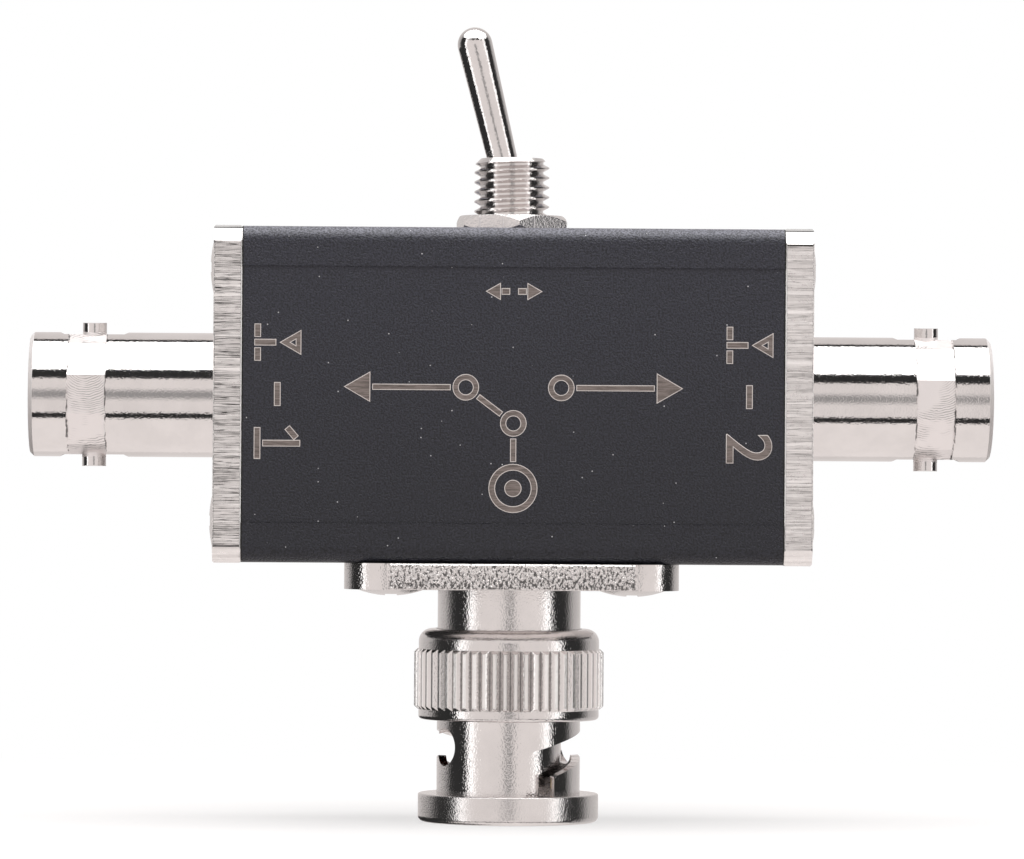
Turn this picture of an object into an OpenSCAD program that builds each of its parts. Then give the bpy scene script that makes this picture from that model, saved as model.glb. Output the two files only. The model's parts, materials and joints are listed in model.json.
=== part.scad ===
// Two-way coaxial antenna switch: square extruded housing, a bayonet jack on each end plate,
// a bat-lever toggle on top and a bayonet plug with a turning coupling nut underneath.
// Millimetres. The origin is at the centre of the plug's mouth, which the part stands on.
// +X runs along the housing, the front faces -Y and the toggle points up, +Z.

/* [Housing] */
// Side of the housing's square section
box_w = 25.4; // [24:0.1:27]
// Length of the housing between its end plates
box_len = 41; // [40:0.5:50]
// Radius of the housing's long outer edges
box_edge_r = 1.2; // [0.5:0.1:2]
// Thickness of the housing's walls
wall = 1.6; // [1.4:0.1:2]
// Height of the sunk panel on the front and back
panel_w = 19.4; // [15:0.1:20]
// Depth of the sunk panel
panel_depth = 0.12; // [0.05:0.01:0.3]
// Distance between the screw channels in the corners
channel_pitch = 19.2; // [18.4:0.1:19.4]
// Radius of the material round each screw channel
channel_boss_r = 2.4; // [2:0.1:2.6]

/* [End plates] */
// Thickness of an end plate
plate_t = 2.15; // [1.8:0.05:3]
// How far an end plate stands proud of the housing's sides
plate_lip = 0.05; // [0.02:0.01:0.3]
// Bevel across an end plate's corners
plate_corner = 1.2; // [0.6:0.1:2]
// Bevel along an end plate's edges
plate_edge = 0.12; // [0.05:0.01:0.3]
// Diameter of a plate screw
plate_screw_d = 2.5; // [2:0.1:3]
// Head diameter of a plate screw
plate_screw_head_d = 4.6; // [4.2:0.1:5]
// How far a plate screw reaches into the housing
plate_screw_reach = 6; // [4:0.5:8]
// Rise of a screw's domed head
screw_rise = 0.3; // [0.2:0.05:0.5]

/* [Jacks] */
// Length of a jack from its plate to its mouth
jack_len = 14.4; // [13:0.1:17]
// Outer diameter of the barrel
barrel_d = 9.6; // [9.5:0.05:9.7]
// Inner diameter of the barrel
barrel_bore_d = 8.15; // [8:0.05:8.3]
// Depth of the barrel's bore
barrel_bore_depth = 9.3; // [8.5:0.1:10]
// Distance across the two lugs
lug_span = 11.07; // [10.8:0.01:11.2]
// Diameter of a lug
lug_d = 1.85; // [1.6:0.05:2]
// Distance from the mouth to the lugs' centre
lug_inset = 4.9; // [4.5:0.1:5.3]
// Diameter of the flat milled round a lug
spot_d = 5.3; // [4.5:0.1:5.8]
// Depth of that flat below the barrel
spot_depth = 0.17; // [0.1:0.01:0.25]
// Distance from the mouth to the band of milled flats
band_inset = 2.96; // [2.4:0.01:3.4]
// Length of that band
band_len = 2.95; // [2.6:0.01:3.4]
// Number of flats round the band
band_flats = 10; // [8:2:24]
// Depth of those flats below the barrel
band_depth = 0.26; // [0.16:0.02:0.3]
// Bevel at the jack's mouth
mouth_bevel = 0.3; // [0.1:0.05:0.5]
// Diameter of the insulator's tower
tower_d = 4.83; // [4.6:0.01:4.9]
// Depth of the tower's face below the mouth
tower_inset = 3.3; // [2.8:0.1:4]
// Outer diameter of the centre contact
socket_outer_d = 2.1; // [2:0.05:2.4]
// Diameter of the hole in the centre contact
socket_d = 1.4; // [1.37:0.01:1.5]
// Depth of the hole in the centre contact
socket_depth = 5; // [4:0.1:6]
// Diameter of the threaded stud behind the plate
stud_d = 8; // [7.6:0.1:8.6]
// Length of the stud past the plate's inner face
stud_reach = 5; // [4.5:0.1:6]
// Size of the jack's nut across its flats
jack_nut_af = 10; // [9.6:0.1:11]
// Thickness of the jack's nut
jack_nut_t = 2; // [1.5:0.1:2.2]
// Thickness of the toothed washer and of the ground tag
tag_t = 0.4; // [0.3:0.05:0.5]
// Reach of the ground tag from the jack's axis
tag_reach = 9; // [8:0.1:10]
// Length of a solder cup behind a jack or the plug
cup_len = 3; // [2.5:0.1:4]
// Diameter of a solder cup
cup_d = 1.8; // [1.75:0.05:2.2]

/* [Plug body] */
// Thickness of the square flange
flange_t = 2; // [1.6:0.1:2.6]
// Radius of the flange's corners
flange_corner_r = 3.2; // [2.5:0.1:4]
// Distance between the flange's screws
flange_pitch = 18.3; // [18:0.1:18.8]
// Diameter of a flange screw
flange_screw_d = 3; // [2.5:0.1:3.2]
// Head diameter of a flange screw
flange_screw_head_d = 5.3; // [5:0.1:5.5]
// Rise of a flange screw's domed head
flange_screw_rise = 0.5; // [0.3:0.05:0.6]
// Length of a flange screw below its head's rim
flange_screw_len = 6; // [5:0.5:7]
// Diameter of the neck between the flange and the coupling nut
neck_d = 11.05; // [10.8:0.05:11.2]
// Height of the neck that shows above the coupling nut
neck_h = 3.2; // [3:0.1:5]
// Diameter of the collar that holds the coupling nut
collar_d = 12.4; // [12.3:0.05:12.5]
// Thickness of that collar
collar_t = 1; // [0.8:0.1:1.3]
// Outer diameter of the plug's sprung sleeve
sleeve_contact_d = 8.1; // [8:0.01:8.15]
// Thickness of the sprung sleeve
sleeve_contact_t = 0.5; // [0.4:0.05:0.6]
// Depth of the sprung sleeve's tip inside the mouth
sleeve_contact_inset = 1.6; // [1.2:0.1:2]
// Height of the slits in the sprung sleeve's tip
slit_h = 1.95; // [1.5:0.05:3]
// Width of those slits
slit_w = 1.2; // [0.5:0.1:1.3]
// Direction of the first slit, turned from the front
slit_turn = 43.6; // [30:0.1:60]
// Diameter of the plug's centre pin
pin_d = 1.37; // [1.32:0.01:1.38]
// Depth of the pin's tip inside the mouth
pin_inset = 2.6; // [2:0.1:3.5]
// Depth of the insulator's face inside the mouth
plug_insulator_inset = 7.6; // [7:0.1:8.2]
// Height of the rubber gasket
gasket_h = 0.9; // [0.7:0.1:1.1]
// Radial thickness of the rubber gasket
gasket_w = 0.6; // [0.5:0.05:0.65]

/* [Coupling nut] */
// Height of the ring at the mouth
ring_h = 2.2; // [2:0.05:2.5]
// Diameter of the ring and of the two collars
ring_d = 13.95; // [13.8:0.05:14.1]
// Height of the slotted sleeve above the ring
sleeve_h = 5.7; // [5.2:0.05:6]
// Outer diameter of the slotted sleeve
sleeve_d = 11.08; // [11:0.01:11.3]
// Inner diameter of the slotted sleeve
sleeve_bore_d = 9.8; // [9.75:0.01:9.9]
// Height of the lower collar
lower_collar_h = 0.8; // [0.7:0.1:1.5]
// Height of the knurled grip
knurl_h = 4.65; // [4:0.05:6]
// Diameter over the knurl
knurl_d = 14.66; // [14.5:0.02:15]
// Number of ridges in the knurl
knurl_ridges = 56; // [48:1:64]
// Depth of the knurl's grooves
knurl_depth = 0.32; // [0.2:0.01:0.34]
// Height of the upper collar
upper_collar_h = 1.55; // [1.4:0.05:2]
// Thickness of the lip that is spun over the thrust washer
lip_t = 0.7; // [0.6:0.05:0.9]
// Thickness of the thrust washer
thrust_t = 0.4; // [0.3:0.05:0.5]
// Room that the wave washer has at rest
wave_room = 1.35; // [1.2:0.05:1.5]
// Thickness of the wave washer's strip
wave_t = 0.25; // [0.15:0.05:0.3]
// Number of waves in the wave washer
waves = 3; // [3:1:4]
// Width of the channel that lets a lug in
entry_w = 2.41; // [2.1:0.01:2.6]
// Direction of the entry channel, turned from the front
entry_turn = 26.1; // [20:0.1:35]
// Turn from the entry channel to the detent hole
lock_turn = 89.8; // [80:0.1:95]
// Diameter of the detent hole
detent_d = 2.94; // [2.6:0.02:3]
// Height of the detent hole's centre
detent_z = 5.83; // [5.6:0.01:6]
// Height of the ramp's upper edge at the entry channel
ramp_start_z = 5.76; // [5.5:0.01:6]
// Rise of the ramp's upper edge
ramp_rise = 1.54; // [1.3:0.01:1.6]
// Width of the ramp at the entry channel
ramp_w = 2.52; // [2.3:0.01:2.6]
// How much the ramp narrows towards the detent hole
ramp_taper = 0.52; // [0.3:0.01:0.6]

/* [Toggle switch] */
// Outer diameter of the bushing's thread
thread_d = 5.8; // [5.7:0.05:6]
// Pitch of the thread
thread_pitch = 0.75; // [0.5:0.05:0.8]
// Height of the bushing above the housing
bushing_h = 5.75; // [5:0.05:7]
// Size of the bushing's nut across its flats
nut_af = 8; // [7.5:0.1:9]
// Thickness of the bushing's nut
nut_t = 1.3; // [1.1:0.05:1.6]
// Height of the nut's bevels at its corners
nut_bevel = 0.5; // [0.2:0.05:0.54]
// Turn of one corner of the nut from the front
nut_turn = 6.6; // [0:0.1:30]
// Lean of the lever to each side
lever_tilt = 13.8; // [12:0.1:14]
// Depth of the lever's pivot below the bushing's top
pivot_depth = 3.1; // [3:0.05:3.3]
// Length of the lever from its pivot to its tip
lever_len = 13.6; // [12:0.1:15]
// Diameter of the lever at its tip
lever_tip_d = 2.7; // [2.3:0.05:3]
// Diameter of the lever at its root
lever_root_d = 2.18; // [2.1:0.02:2.3]
// Diameter of the ball at the lever's pivot
ball_d = 3.7; // [3.5:0.05:3.8]
// Diameter of the pivot pin
pivot_pin_d = 0.8; // [0.6:0.05:0.9]
// Length of the lever's tail below the pivot
tail_len = 4.2; // [4:0.05:4.3]
// Diameter of the lever's tail
tail_d = 1.8; // [1.7:0.02:1.84]
// Diameter of the plunger
plunger_d = 1.2; // [1.1:0.02:1.3]
// Distance from the pivot to the plunger's tip
plunger_reach = 6; // [5.9:0.05:6.1]
// Length of the plunger
plunger_len = 3; // [2.8:0.05:3.2]
// Number of turns in the plunger's spring
spring_turns = 5; // [4:1:6]
// Diameter of the plunger spring's wire
spring_wire_d = 0.18; // [0.14:0.01:0.2]
// Width of the switch case along the housing
case_w = 13.2; // [13:0.1:14]
// Depth of the switch case across the housing
case_d = 7.9; // [7.6:0.1:8.4]
// Height of the switch case
case_h = 9.7; // [9.4:0.1:10.2]
// Thickness of the switch case's walls
case_wall = 0.9; // [0.7:0.05:1]
// Height of the switch case's floor, which the terminals stand on
case_floor_h = 4.7; // [4.4:0.1:5]
// Thickness of the steel frame over the case
frame_t = 0.6; // [0.5:0.05:0.7]
// Thickness of the locating washer inside the housing
locating_t = 0.5; // [0.4:0.05:0.8]
// Distance from the common terminal to each outer one
terminal_pitch = 4.7; // [4.5:0.05:4.8]
// Width of a terminal's blade
blade_w = 2; // [1.6:0.1:2.2]
// Thickness of a terminal's blade
blade_t = 0.8; // [0.6:0.05:0.9]
// Length of a blade below the case
blade_reach = 4; // [3.5:0.1:4]
// Tilt of the rocker contact to each side
rocker_tilt = 8; // [6:0.5:8.5]
// Half the rocker contact's length
rocker_half = 5.2; // [5:0.05:5.4]
// Depth of the rocker contact across the case
rocker_d = 2.4; // [2:0.1:2.6]

/* [Wiring] */
// Diameter of the tinned wires
wire_d = 0.8; // [0.6:0.05:0.9]

/* [Hidden] */
$fn = 64;

LEFT = -1;
RIGHT = 1;
// Cuts run past the faces that they open by this much
over = 1;
// Small gap between pieces that are seated together
seat_gap = 0.02;
// Radial gap round a shaft that turns or slides
running_gap = 0.05;

black_finish = [0.24, 0.24, 0.26];
bright_aluminium = [0.88, 0.84, 0.84];
nickel = [0.80, 0.78, 0.76];
steel = [0.70, 0.70, 0.71];
gold = [0.86, 0.68, 0.32];
white_insulator = [0.95, 0.95, 0.93];
dark_plastic = [0.16, 0.10, 0.10];
red_rubber = [0.62, 0.22, 0.16];
tinned = [0.78, 0.78, 0.76];

// Levels above the mouth
nut_top_z = ring_h + sleeve_h + lower_collar_h + knurl_h + upper_collar_h;
lower_collar_z = ring_h + sleeve_h;
knurl_z = lower_collar_z + lower_collar_h;
upper_collar_z = knurl_z + knurl_h;
lip_z = nut_top_z - lip_t;
thrust_z = lip_z - running_gap - thrust_t;
collar_z = thrust_z - wave_room - collar_t;
seat_z = collar_z - running_gap;
flange_z = nut_top_z + neck_h;
box_z = flange_z + flange_t;
axis_z = box_z + box_w / 2;
box_top_z = box_z + box_w;

// The neck runs on as the coupling nut's journal, which leaves its collar this much step
collar_step = 0.675;
collar_r = collar_d / 2;
neck_r = neck_d / 2;
journal_r = min(neck_r, collar_r - collar_step);
lip_r = journal_r + 0.12;

// Radii of the coupling nut, which keeps this much wall round the collar and the washers
nut_wall = 0.6;
cavity_r = collar_r + 0.1;
grip_r = max(ring_d / 2, cavity_r + nut_wall);
knurl_r = max(knurl_d / 2, grip_r + knurl_depth / 2);

// Plates and jacks
plate_x = box_len / 2;
plate_w = box_w + 2 * plate_lip;
stud_hole_r = stud_d / 2 + running_gap;
stud_end = -plate_t - stud_reach;
rear_bore_r = tower_d / 2 + running_gap;
contact_r = socket_outer_d / 2;
contact_back_r = contact_r + 0.5;
contact_back_t = 0.5;
insulator_back = stud_end + contact_back_t + 0.2;
shoulder_t = 1;
contact_front = jack_len - tower_inset - 0.2;
tag_ring_r = jack_nut_af / 2 + 0.8;

// Plug
contact_end_z = flange_z - 1;
insulator_r = sleeve_contact_d / 2 - sleeve_contact_t - seat_gap;
insulator_top_r = insulator_r - 0.45;
insulator_top_z = box_z + wall / 2;
pin_step_depth = 1.4;
pin_step_z = plug_insulator_inset + pin_step_depth;
pin_neck_r = pin_d / 2 + 0.22;
pin_body_r = pin_d / 2 + 0.4;
cup_top_z = insulator_top_z + cup_len;
cup_floor_t = 0.8;
plug_hole_r = insulator_top_r + 1.5;

// Toggle levels
bushing_top_z = box_top_z + bushing_h;
pivot_z = bushing_top_z - pivot_depth;
frame_top_z = box_top_z - wall - locating_t;
case_top_z = frame_top_z - frame_t;
case_z = case_top_z - case_h;
case_floor_z = case_z + case_floor_h;
blade_z = case_z - blade_reach;
thread_r = thread_d / 2;
thread_root_r = thread_r - 0.62 * thread_pitch;
bushing_bore_r = ball_d / 2 + 0.15;
tail_bore_r = bushing_bore_r + 0.2;
bushing_neck_r = thread_r - 0.3;
pin_slot_reach = thread_root_r - 0.12;

// Rocker: it tips on the common terminal's round head, and the plunger rides in its valley
plunger_r = plunger_d / 2;
valley_floor = 0.88;
valley_r = 3.2;
plunger_gap = 0.12;
rocker_z = pivot_z - plunger_reach - plunger_gap - valley_floor;
rocker_under = 0.1;
rocker_bar_t = 0.45;
rocker_block_half = 2;
rocker_block_h = 1.3;
rocker_hub_half = 1.1;
saddle_r = 0.45;
contact_drop = terminal_pitch * tan(rocker_tilt) - rocker_under / cos(rocker_tilt);
outer_head_z = rocker_z - contact_drop - 0.06;
outer_head_r = 0.9;
terminal_gap = 0.1;

// ---------- shared shapes ----------

// Square with round corners, made of true arcs
module rounded_square(w, r) {
    square([w, w - 2 * r], center = true);
    square([w - 2 * r, w], center = true);
    for (x = [-1, 1], y = [-1, 1])
        translate([x * (w / 2 - r), y * (w / 2 - r)]) circle(r);
}

// Half section of a ring whose outer edges are rounded, for rotate_extrude
module ring_section(r_in, r_out, z_low, z_high, round_low = 0, round_high = 0) {
    difference() {
        translate([r_in, z_low]) square([r_out - r_in, z_high - z_low]);
        if (round_low > 0)
            translate([r_out - round_low, z_low]) difference() {
                translate([0, -over]) square([round_low + over, round_low + over]);
                translate([0, round_low]) circle(round_low);
            }
        if (round_high > 0)
            translate([r_out - round_high, z_high - round_high]) difference() {
                square([round_high + over, round_high + over]);
                circle(round_high);
            }
    }
}

// Washer standing on z_low
module washer(r_in, r_out, z_low, t) {
    translate([0, 0, z_low]) difference() {
        cylinder(r = r_out, h = t);
        translate([0, 0, -over]) cylinder(r = r_in, h = t + 2 * over);
    }
}

// Cone or drum that starts at z_low
module drum(r_low, r_high, z_low, z_high) {
    translate([0, 0, z_low]) cylinder(r1 = r_low, r2 = r_high, h = z_high - z_low);
}

// Raised countersunk screw with a cross recess; the head's rim is at z = 0 and the tip points down
module countersunk_screw(d, head_d, rise, length) {
    cone_h = (head_d - d) / 2;
    dome_r = (head_d * head_d / 4 + rise * rise) / (2 * rise);
    recess_r = 0.28 * head_d;
    recess_w = 0.17 * head_d;
    recess_h = 0.24 * head_d;
    difference() {
        union() {
            intersection() {
                translate([0, 0, rise - dome_r]) sphere(dome_r);
                translate([-head_d, -head_d, 0]) cube([2 * head_d, 2 * head_d, head_d]);
            }
            drum(d / 2, head_d / 2, -cone_h, 0);
            drum(d / 2, d / 2, -length, -cone_h);
        }
        intersection() {
            drum(recess_r / 3, recess_r * 1.15, rise - recess_h, rise + 0.2);
            union() {
                cube([recess_w, 3 * recess_r, 4 * recess_h], center = true);
                cube([3 * recess_r, recess_w, 4 * recess_h], center = true);
            }
        }
    }
}

// Hole and countersink for that screw
module countersunk_hole(d, head_d, length) {
    head_r = head_d / 2 + seat_gap;
    shank_r = d / 2 + seat_gap;
    drum(shank_r, head_r, shank_r - head_r, 0);
    drum(head_r, head_r, 0, over);
    drum(shank_r, shank_r, -length, shank_r - head_r);
}

// Hexagonal nut with both faces bevelled
module hex_nut(across_flats, t, hole_r, bevel) {
    corner_r = across_flats / 2 / cos(30);
    face_r = across_flats / 2 - 0.05;
    difference() {
        intersection() {
            cylinder(r = corner_r, h = t, $fn = 6);
            union() {
                drum(face_r, corner_r, 0, bevel);
                drum(corner_r, corner_r, bevel, t - bevel);
                drum(corner_r, face_r, t - bevel, t);
            }
        }
        drum(hole_r, hole_r, -over, t + over);
    }
}

function unit(v) = v / norm(v);

// Wire along a list of points that run mostly in an upright plane through X
module wire(points, d) {
    sides = 8;
    last = len(points) - 1;
    rings = [for (i = [0 : last], k = [0 : sides - 1])
        let (along = unit(points[min(i + 1, last)] - points[max(i - 1, 0)]),
             out = unit(cross(along, [0, 1, 0])),
             up = cross(along, out),
             a = (k + 0.5) * 360 / sides)
        points[i] + d / 2 * (out * cos(a) + up * sin(a))];
    walls = [for (i = [0 : last - 1], k = [0 : sides - 1], half = [0, 1])
        let (a = i * sides + k, b = i * sides + (k + 1) % sides, c = b + sides, e = a + sides)
        half == 0 ? [a, c, b] : [a, e, c]];
    ends = concat([for (k = [1 : sides - 2]) [0, k, k + 1]],
                  [for (k = [1 : sides - 2]) last * sides * [1, 1, 1] + [0, k + 1, k]]);
    polyhedron(rings, concat(walls, ends));
}

// Mirrors what it holds to the left side
module on_side(side) {
    if (side == RIGHT) children();
    else mirror([1, 0, 0]) children();
}

// Moves what it holds to a plate's outer face, with its own +Z pointing outwards
module at_plate(side) {
    on_side(side) translate([plate_x + plate_t, 0, axis_z]) rotate([0, 90, 0]) children();
}

// The four corners of a square pattern
module corners(pitch) {
    for (x = [-1, 1], y = [-1, 1]) translate([x * pitch / 2, y * pitch / 2, 0]) children();
}

// ---------- housing ----------

module housing_section() {
    panel_y = box_w / 2 - panel_depth;
    inner_w = box_w - 2 * wall;
    difference() {
        rounded_square(box_w, box_edge_r);
        difference() {
            square(inner_w, center = true);
            corners(channel_pitch) circle(channel_boss_r);
        }
        corners(channel_pitch) circle(plate_screw_d / 2 + running_gap);
        for (s = [-1, 1])
            translate([s * (panel_y + over / 2), 0]) square([over, panel_w], center = true);
    }
}

module housing_tube() {
    color(black_finish) difference() {
        translate([-box_len / 2, 0, axis_z])
            rotate([90, 0, 90]) linear_extrude(box_len) housing_section();
        drum(thread_r + 0.1, thread_r + 0.1, box_top_z - wall - over, box_top_z + over);
        drum(plug_hole_r, plug_hole_r, box_z - over, box_z + wall + over);
        translate([0, 0, box_z]) corners(flange_pitch)
            drum(flange_screw_d / 2 + running_gap, flange_screw_d / 2 + running_gap,
                 -over, flange_screw_len - flange_t + 0.3);
    }
}

module end_plate(side) {
    half = plate_w / 2;
    c = plate_corner;
    e = plate_edge;
    color(bright_aluminium) at_plate(side) difference() {
        intersection() {
            translate([0, 0, -plate_t]) linear_extrude(plate_t) polygon([
                [half - c, half], [c - half, half], [-half, half - c], [-half, c - half],
                [c - half, -half], [half - c, -half], [half, c - half], [half, half - c]
            ]);
            for_edges(half, e);
            rotate([0, 0, 90]) for_edges(half, e);
        }
        drum(stud_hole_r, stud_hole_r, -plate_t - over, over);
        corners(channel_pitch) countersunk_hole(plate_screw_d, plate_screw_head_d, plate_t + over);
    }
}

// Slab whose section has small bevels at its four edges
module for_edges(half, e) {
    rotate([90, 0, 0]) linear_extrude(2 * half + 2 * over, center = true) polygon([
        [half, -e], [half - e, 0], [e - half, 0], [-half, -e],
        [-half, e - plate_t], [e - half, -plate_t], [half - e, -plate_t], [half, e - plate_t]
    ]);
}

module plate_screws(side) {
    color(nickel) at_plate(side) corners(channel_pitch)
        countersunk_screw(plate_screw_d, plate_screw_head_d, screw_rise, plate_t + plate_screw_reach);
}

// ---------- jacks ----------

module jack_barrel() {
    r = barrel_d / 2;
    band_high = jack_len - band_inset;
    band_low = band_high - band_len;
    corner_r = (r - band_depth) / cos(180 / band_flats);
    drum(r, r, 0, band_low);
    intersection() {
        drum(r, r, band_low, band_high);
        translate([0, 0, band_low]) linear_extrude(band_len)
            polygon([for (i = [0 : band_flats - 1])
                corner_r * [cos(i * 360 / band_flats), sin(i * 360 / band_flats)]]);
    }
    drum(r, r, band_high, jack_len - mouth_bevel);
    drum(r, r - mouth_bevel, jack_len - mouth_bevel, jack_len);
}

module jack_lugs() {
    intersection() {
        translate([0, 0, jack_len - lug_inset]) rotate([0, 90, 0])
            cylinder(d = lug_d, h = lug_span + over, center = true);
        drum(lug_span / 2, lug_span / 2, 0, jack_len);
    }
}

module lug_spots() {
    spot_r = barrel_d / 2 - spot_depth;
    for (s = [-1, 1])
        translate([s * (spot_r + over / 2), 0, jack_len - lug_inset]) rotate([0, 90, 0])
            cylinder(d = spot_d, h = over, center = true);
}

module jack_shell(side) {
    bore_r = barrel_bore_d / 2;
    bore_floor = jack_len - barrel_bore_depth;
    color(nickel) at_plate(side) difference() {
        union() {
            difference() {
                jack_barrel();
                lug_spots();
            }
            jack_lugs();
            drum(stud_d / 2, stud_d / 2, stud_end, 0);
        }
        drum(bore_r, bore_r, bore_floor, jack_len + over);
        drum(bore_r, bore_r + mouth_bevel, jack_len - mouth_bevel, jack_len);
        drum(rear_bore_r, rear_bore_r, stud_end - over, bore_floor + over);
    }
}

module jack_insulator(side) {
    bore_floor = jack_len - barrel_bore_depth;
    tower_r = tower_d / 2;
    shoulder_r = barrel_bore_d / 2 - running_gap;
    color(white_insulator) at_plate(side) difference() {
        union() {
            drum(tower_r, tower_r, insulator_back, jack_len - tower_inset);
            drum(shoulder_r, shoulder_r, bore_floor, bore_floor + shoulder_t);
        }
        drum(contact_r + seat_gap, contact_r + seat_gap, insulator_back - over, jack_len);
    }
}

module jack_contact(side) {
    hole_r = socket_d / 2;
    cup_r = cup_d / 2;
    back = insulator_back - contact_back_t;
    slit = 0.25;
    color(gold) at_plate(side) difference() {
        union() {
            drum(contact_r, contact_r, insulator_back, contact_front);
            drum(contact_back_r, contact_back_r, back, insulator_back);
            drum(cup_r, cup_r, back - cup_len, back);
        }
        drum(hole_r, hole_r, contact_front - socket_depth, contact_front + over);
        drum(hole_r, hole_r + 0.15, contact_front - 0.15, contact_front);
        translate([-over * 2, -slit / 2, contact_front - socket_depth + 0.6])
            cube([over * 4, slit, socket_depth]);
        solder_cup(back - cup_len, -1);
    }
}

// Hollow of a solder cup whose mouth is at z and opens towards dir
module solder_cup(z, dir) {
    hollow_r = wire_d / 2 + running_gap;
    depth = cup_len - cup_floor_t;
    low = dir < 0 ? z - over : z - depth;
    drum(hollow_r, hollow_r, low, low + depth + over);
    translate([0, -cup_d, low]) cube([cup_d, 2 * cup_d, depth * 0.5 + over]);
}

module jack_washer(side) {
    teeth = 18;
    outer_r = tag_ring_r - 0.3;
    color(steel) at_plate(side) translate([0, 0, -plate_t - tag_t]) difference() {
        linear_extrude(tag_t) polygon([for (i = [0 : 2 * teeth - 1])
            (outer_r - (i % 2) * 0.45) * [cos(i * 180 / teeth), sin(i * 180 / teeth)]]);
        drum(stud_hole_r, stud_hole_r, -over, tag_t + over);
    }
}

module jack_ground_tag(side) {
    tab_w = 2.4;
    color(tinned) at_plate(side) translate([0, 0, -plate_t - 2 * tag_t]) difference() {
        union() {
            drum(tag_ring_r, tag_ring_r, 0, tag_t);
            translate([0, -tab_w / 2, 0]) cube([tag_reach - tab_w / 2, tab_w, tag_t]);
            translate([tag_reach - tab_w / 2, 0, 0]) cylinder(d = tab_w, h = tag_t);
        }
        drum(stud_hole_r, stud_hole_r, -over, tag_t + over);
        translate([tag_reach - tab_w / 2, 0, -over]) cylinder(d = tab_w / 2, h = tag_t + 2 * over);
    }
}

module jack_nut(side) {
    color(nickel) at_plate(side) translate([0, 0, -plate_t - 2 * tag_t - jack_nut_t])
        hex_nut(jack_nut_af, jack_nut_t, stud_hole_r, 0.25);
}

// ---------- plug ----------

module plug_flange() {
    contact_bore_r = sleeve_contact_d / 2 + seat_gap;
    top_bore_r = insulator_top_r + seat_gap;
    color(nickel) difference() {
        union() {
            translate([0, 0, flange_z]) linear_extrude(flange_t)
                rounded_square(box_w, flange_corner_r);
            drum(journal_r, journal_r, collar_z, flange_z);
            drum(neck_r, neck_r, nut_top_z + running_gap, flange_z);
            drum(collar_r, collar_r, collar_z, collar_z + collar_t);
        }
        drum(contact_bore_r, contact_bore_r, collar_z - over, contact_end_z + seat_gap);
        drum(top_bore_r, top_bore_r, contact_end_z, box_z + over);
        translate([0, 0, flange_z]) mirror([0, 0, 1]) corners(flange_pitch)
            countersunk_hole(flange_screw_d, flange_screw_head_d, flange_t + over);
    }
}

module flange_screws() {
    color(nickel) translate([0, 0, flange_z]) mirror([0, 0, 1]) corners(flange_pitch)
        countersunk_screw(flange_screw_d, flange_screw_head_d, flange_screw_rise, flange_screw_len);
}

module plug_outer_contact() {
    r = sleeve_contact_d / 2;
    bore_r = r - sleeve_contact_t;
    tip = 0.15;
    color(nickel) difference() {
        union() {
            drum(r - tip, r, sleeve_contact_inset, sleeve_contact_inset + tip);
            drum(r, r, sleeve_contact_inset + tip, contact_end_z);
        }
        drum(bore_r, bore_r, 0, contact_end_z + over);
        for (a = [0, 90])
            rotate([0, 0, slit_turn + a]) translate([0, 0, sleeve_contact_inset])
                cube([2 * r + over, slit_w, 2 * slit_h], center = true);
    }
}

module plug_insulator() {
    bore_r = pin_body_r + seat_gap;
    front_r = pin_neck_r + seat_gap;
    color(white_insulator) difference() {
        union() {
            drum(insulator_r, insulator_r, plug_insulator_inset, contact_end_z);
            drum(insulator_top_r, insulator_top_r, contact_end_z, insulator_top_z);
        }
        drum(front_r, front_r, 0, pin_step_z + over);
        drum(bore_r, bore_r, pin_step_z, insulator_top_z + over);
    }
}

module plug_center_pin() {
    r = pin_d / 2;
    tip = 0.45;
    color(gold) difference() {
        union() {
            drum(r / 2, r, pin_inset, pin_inset + tip);
            drum(r, r, pin_inset + tip, plug_insulator_inset);
            drum(pin_neck_r, pin_neck_r, plug_insulator_inset, pin_step_z);
            drum(pin_body_r, pin_body_r, pin_step_z, insulator_top_z);
            drum(cup_d / 2, cup_d / 2, insulator_top_z, cup_top_z);
        }
        solder_cup(cup_top_z, 1);
    }
}

module plug_gasket() {
    r_in = sleeve_contact_d / 2 + running_gap;
    color(red_rubber) rotate_extrude()
        ring_section(r_in, r_in + gasket_w, collar_z - gasket_h, collar_z, 0.15, 0);
}

// ---------- coupling nut ----------

// Star-shaped section of the straight knurl
module knurl_section() {
    step = 360 / knurl_ridges;
    root_r = knurl_r - knurl_depth;
    polygon([for (i = [0 : knurl_ridges - 1], p = [[0, root_r], [0.38, knurl_r], [0.62, knurl_r]])
        p[1] * [cos((i + p[0]) * step), sin((i + p[0]) * step)]]);
}

module knurl_band() {
    root_rim = 0.05;
    bevel = knurl_depth - root_rim;
    intersection() {
        translate([0, 0, knurl_z]) linear_extrude(knurl_h) knurl_section();
        union() {
            drum(knurl_r - bevel, knurl_r, knurl_z, knurl_z + bevel);
            drum(knurl_r, knurl_r, knurl_z + bevel, upper_collar_z - bevel);
            drum(knurl_r, knurl_r - bevel, upper_collar_z - bevel, upper_collar_z);
        }
    }
}

// Upper edge of the bayonet ramp, t from 0 at the entry channel to 1 at the detent hole
function ramp_top(t) = ramp_start_z + ramp_rise * (1 - pow(1 - t, 1.6));
function ramp_low(t) = ramp_top(t) - ramp_w + ramp_taper * t;

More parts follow.
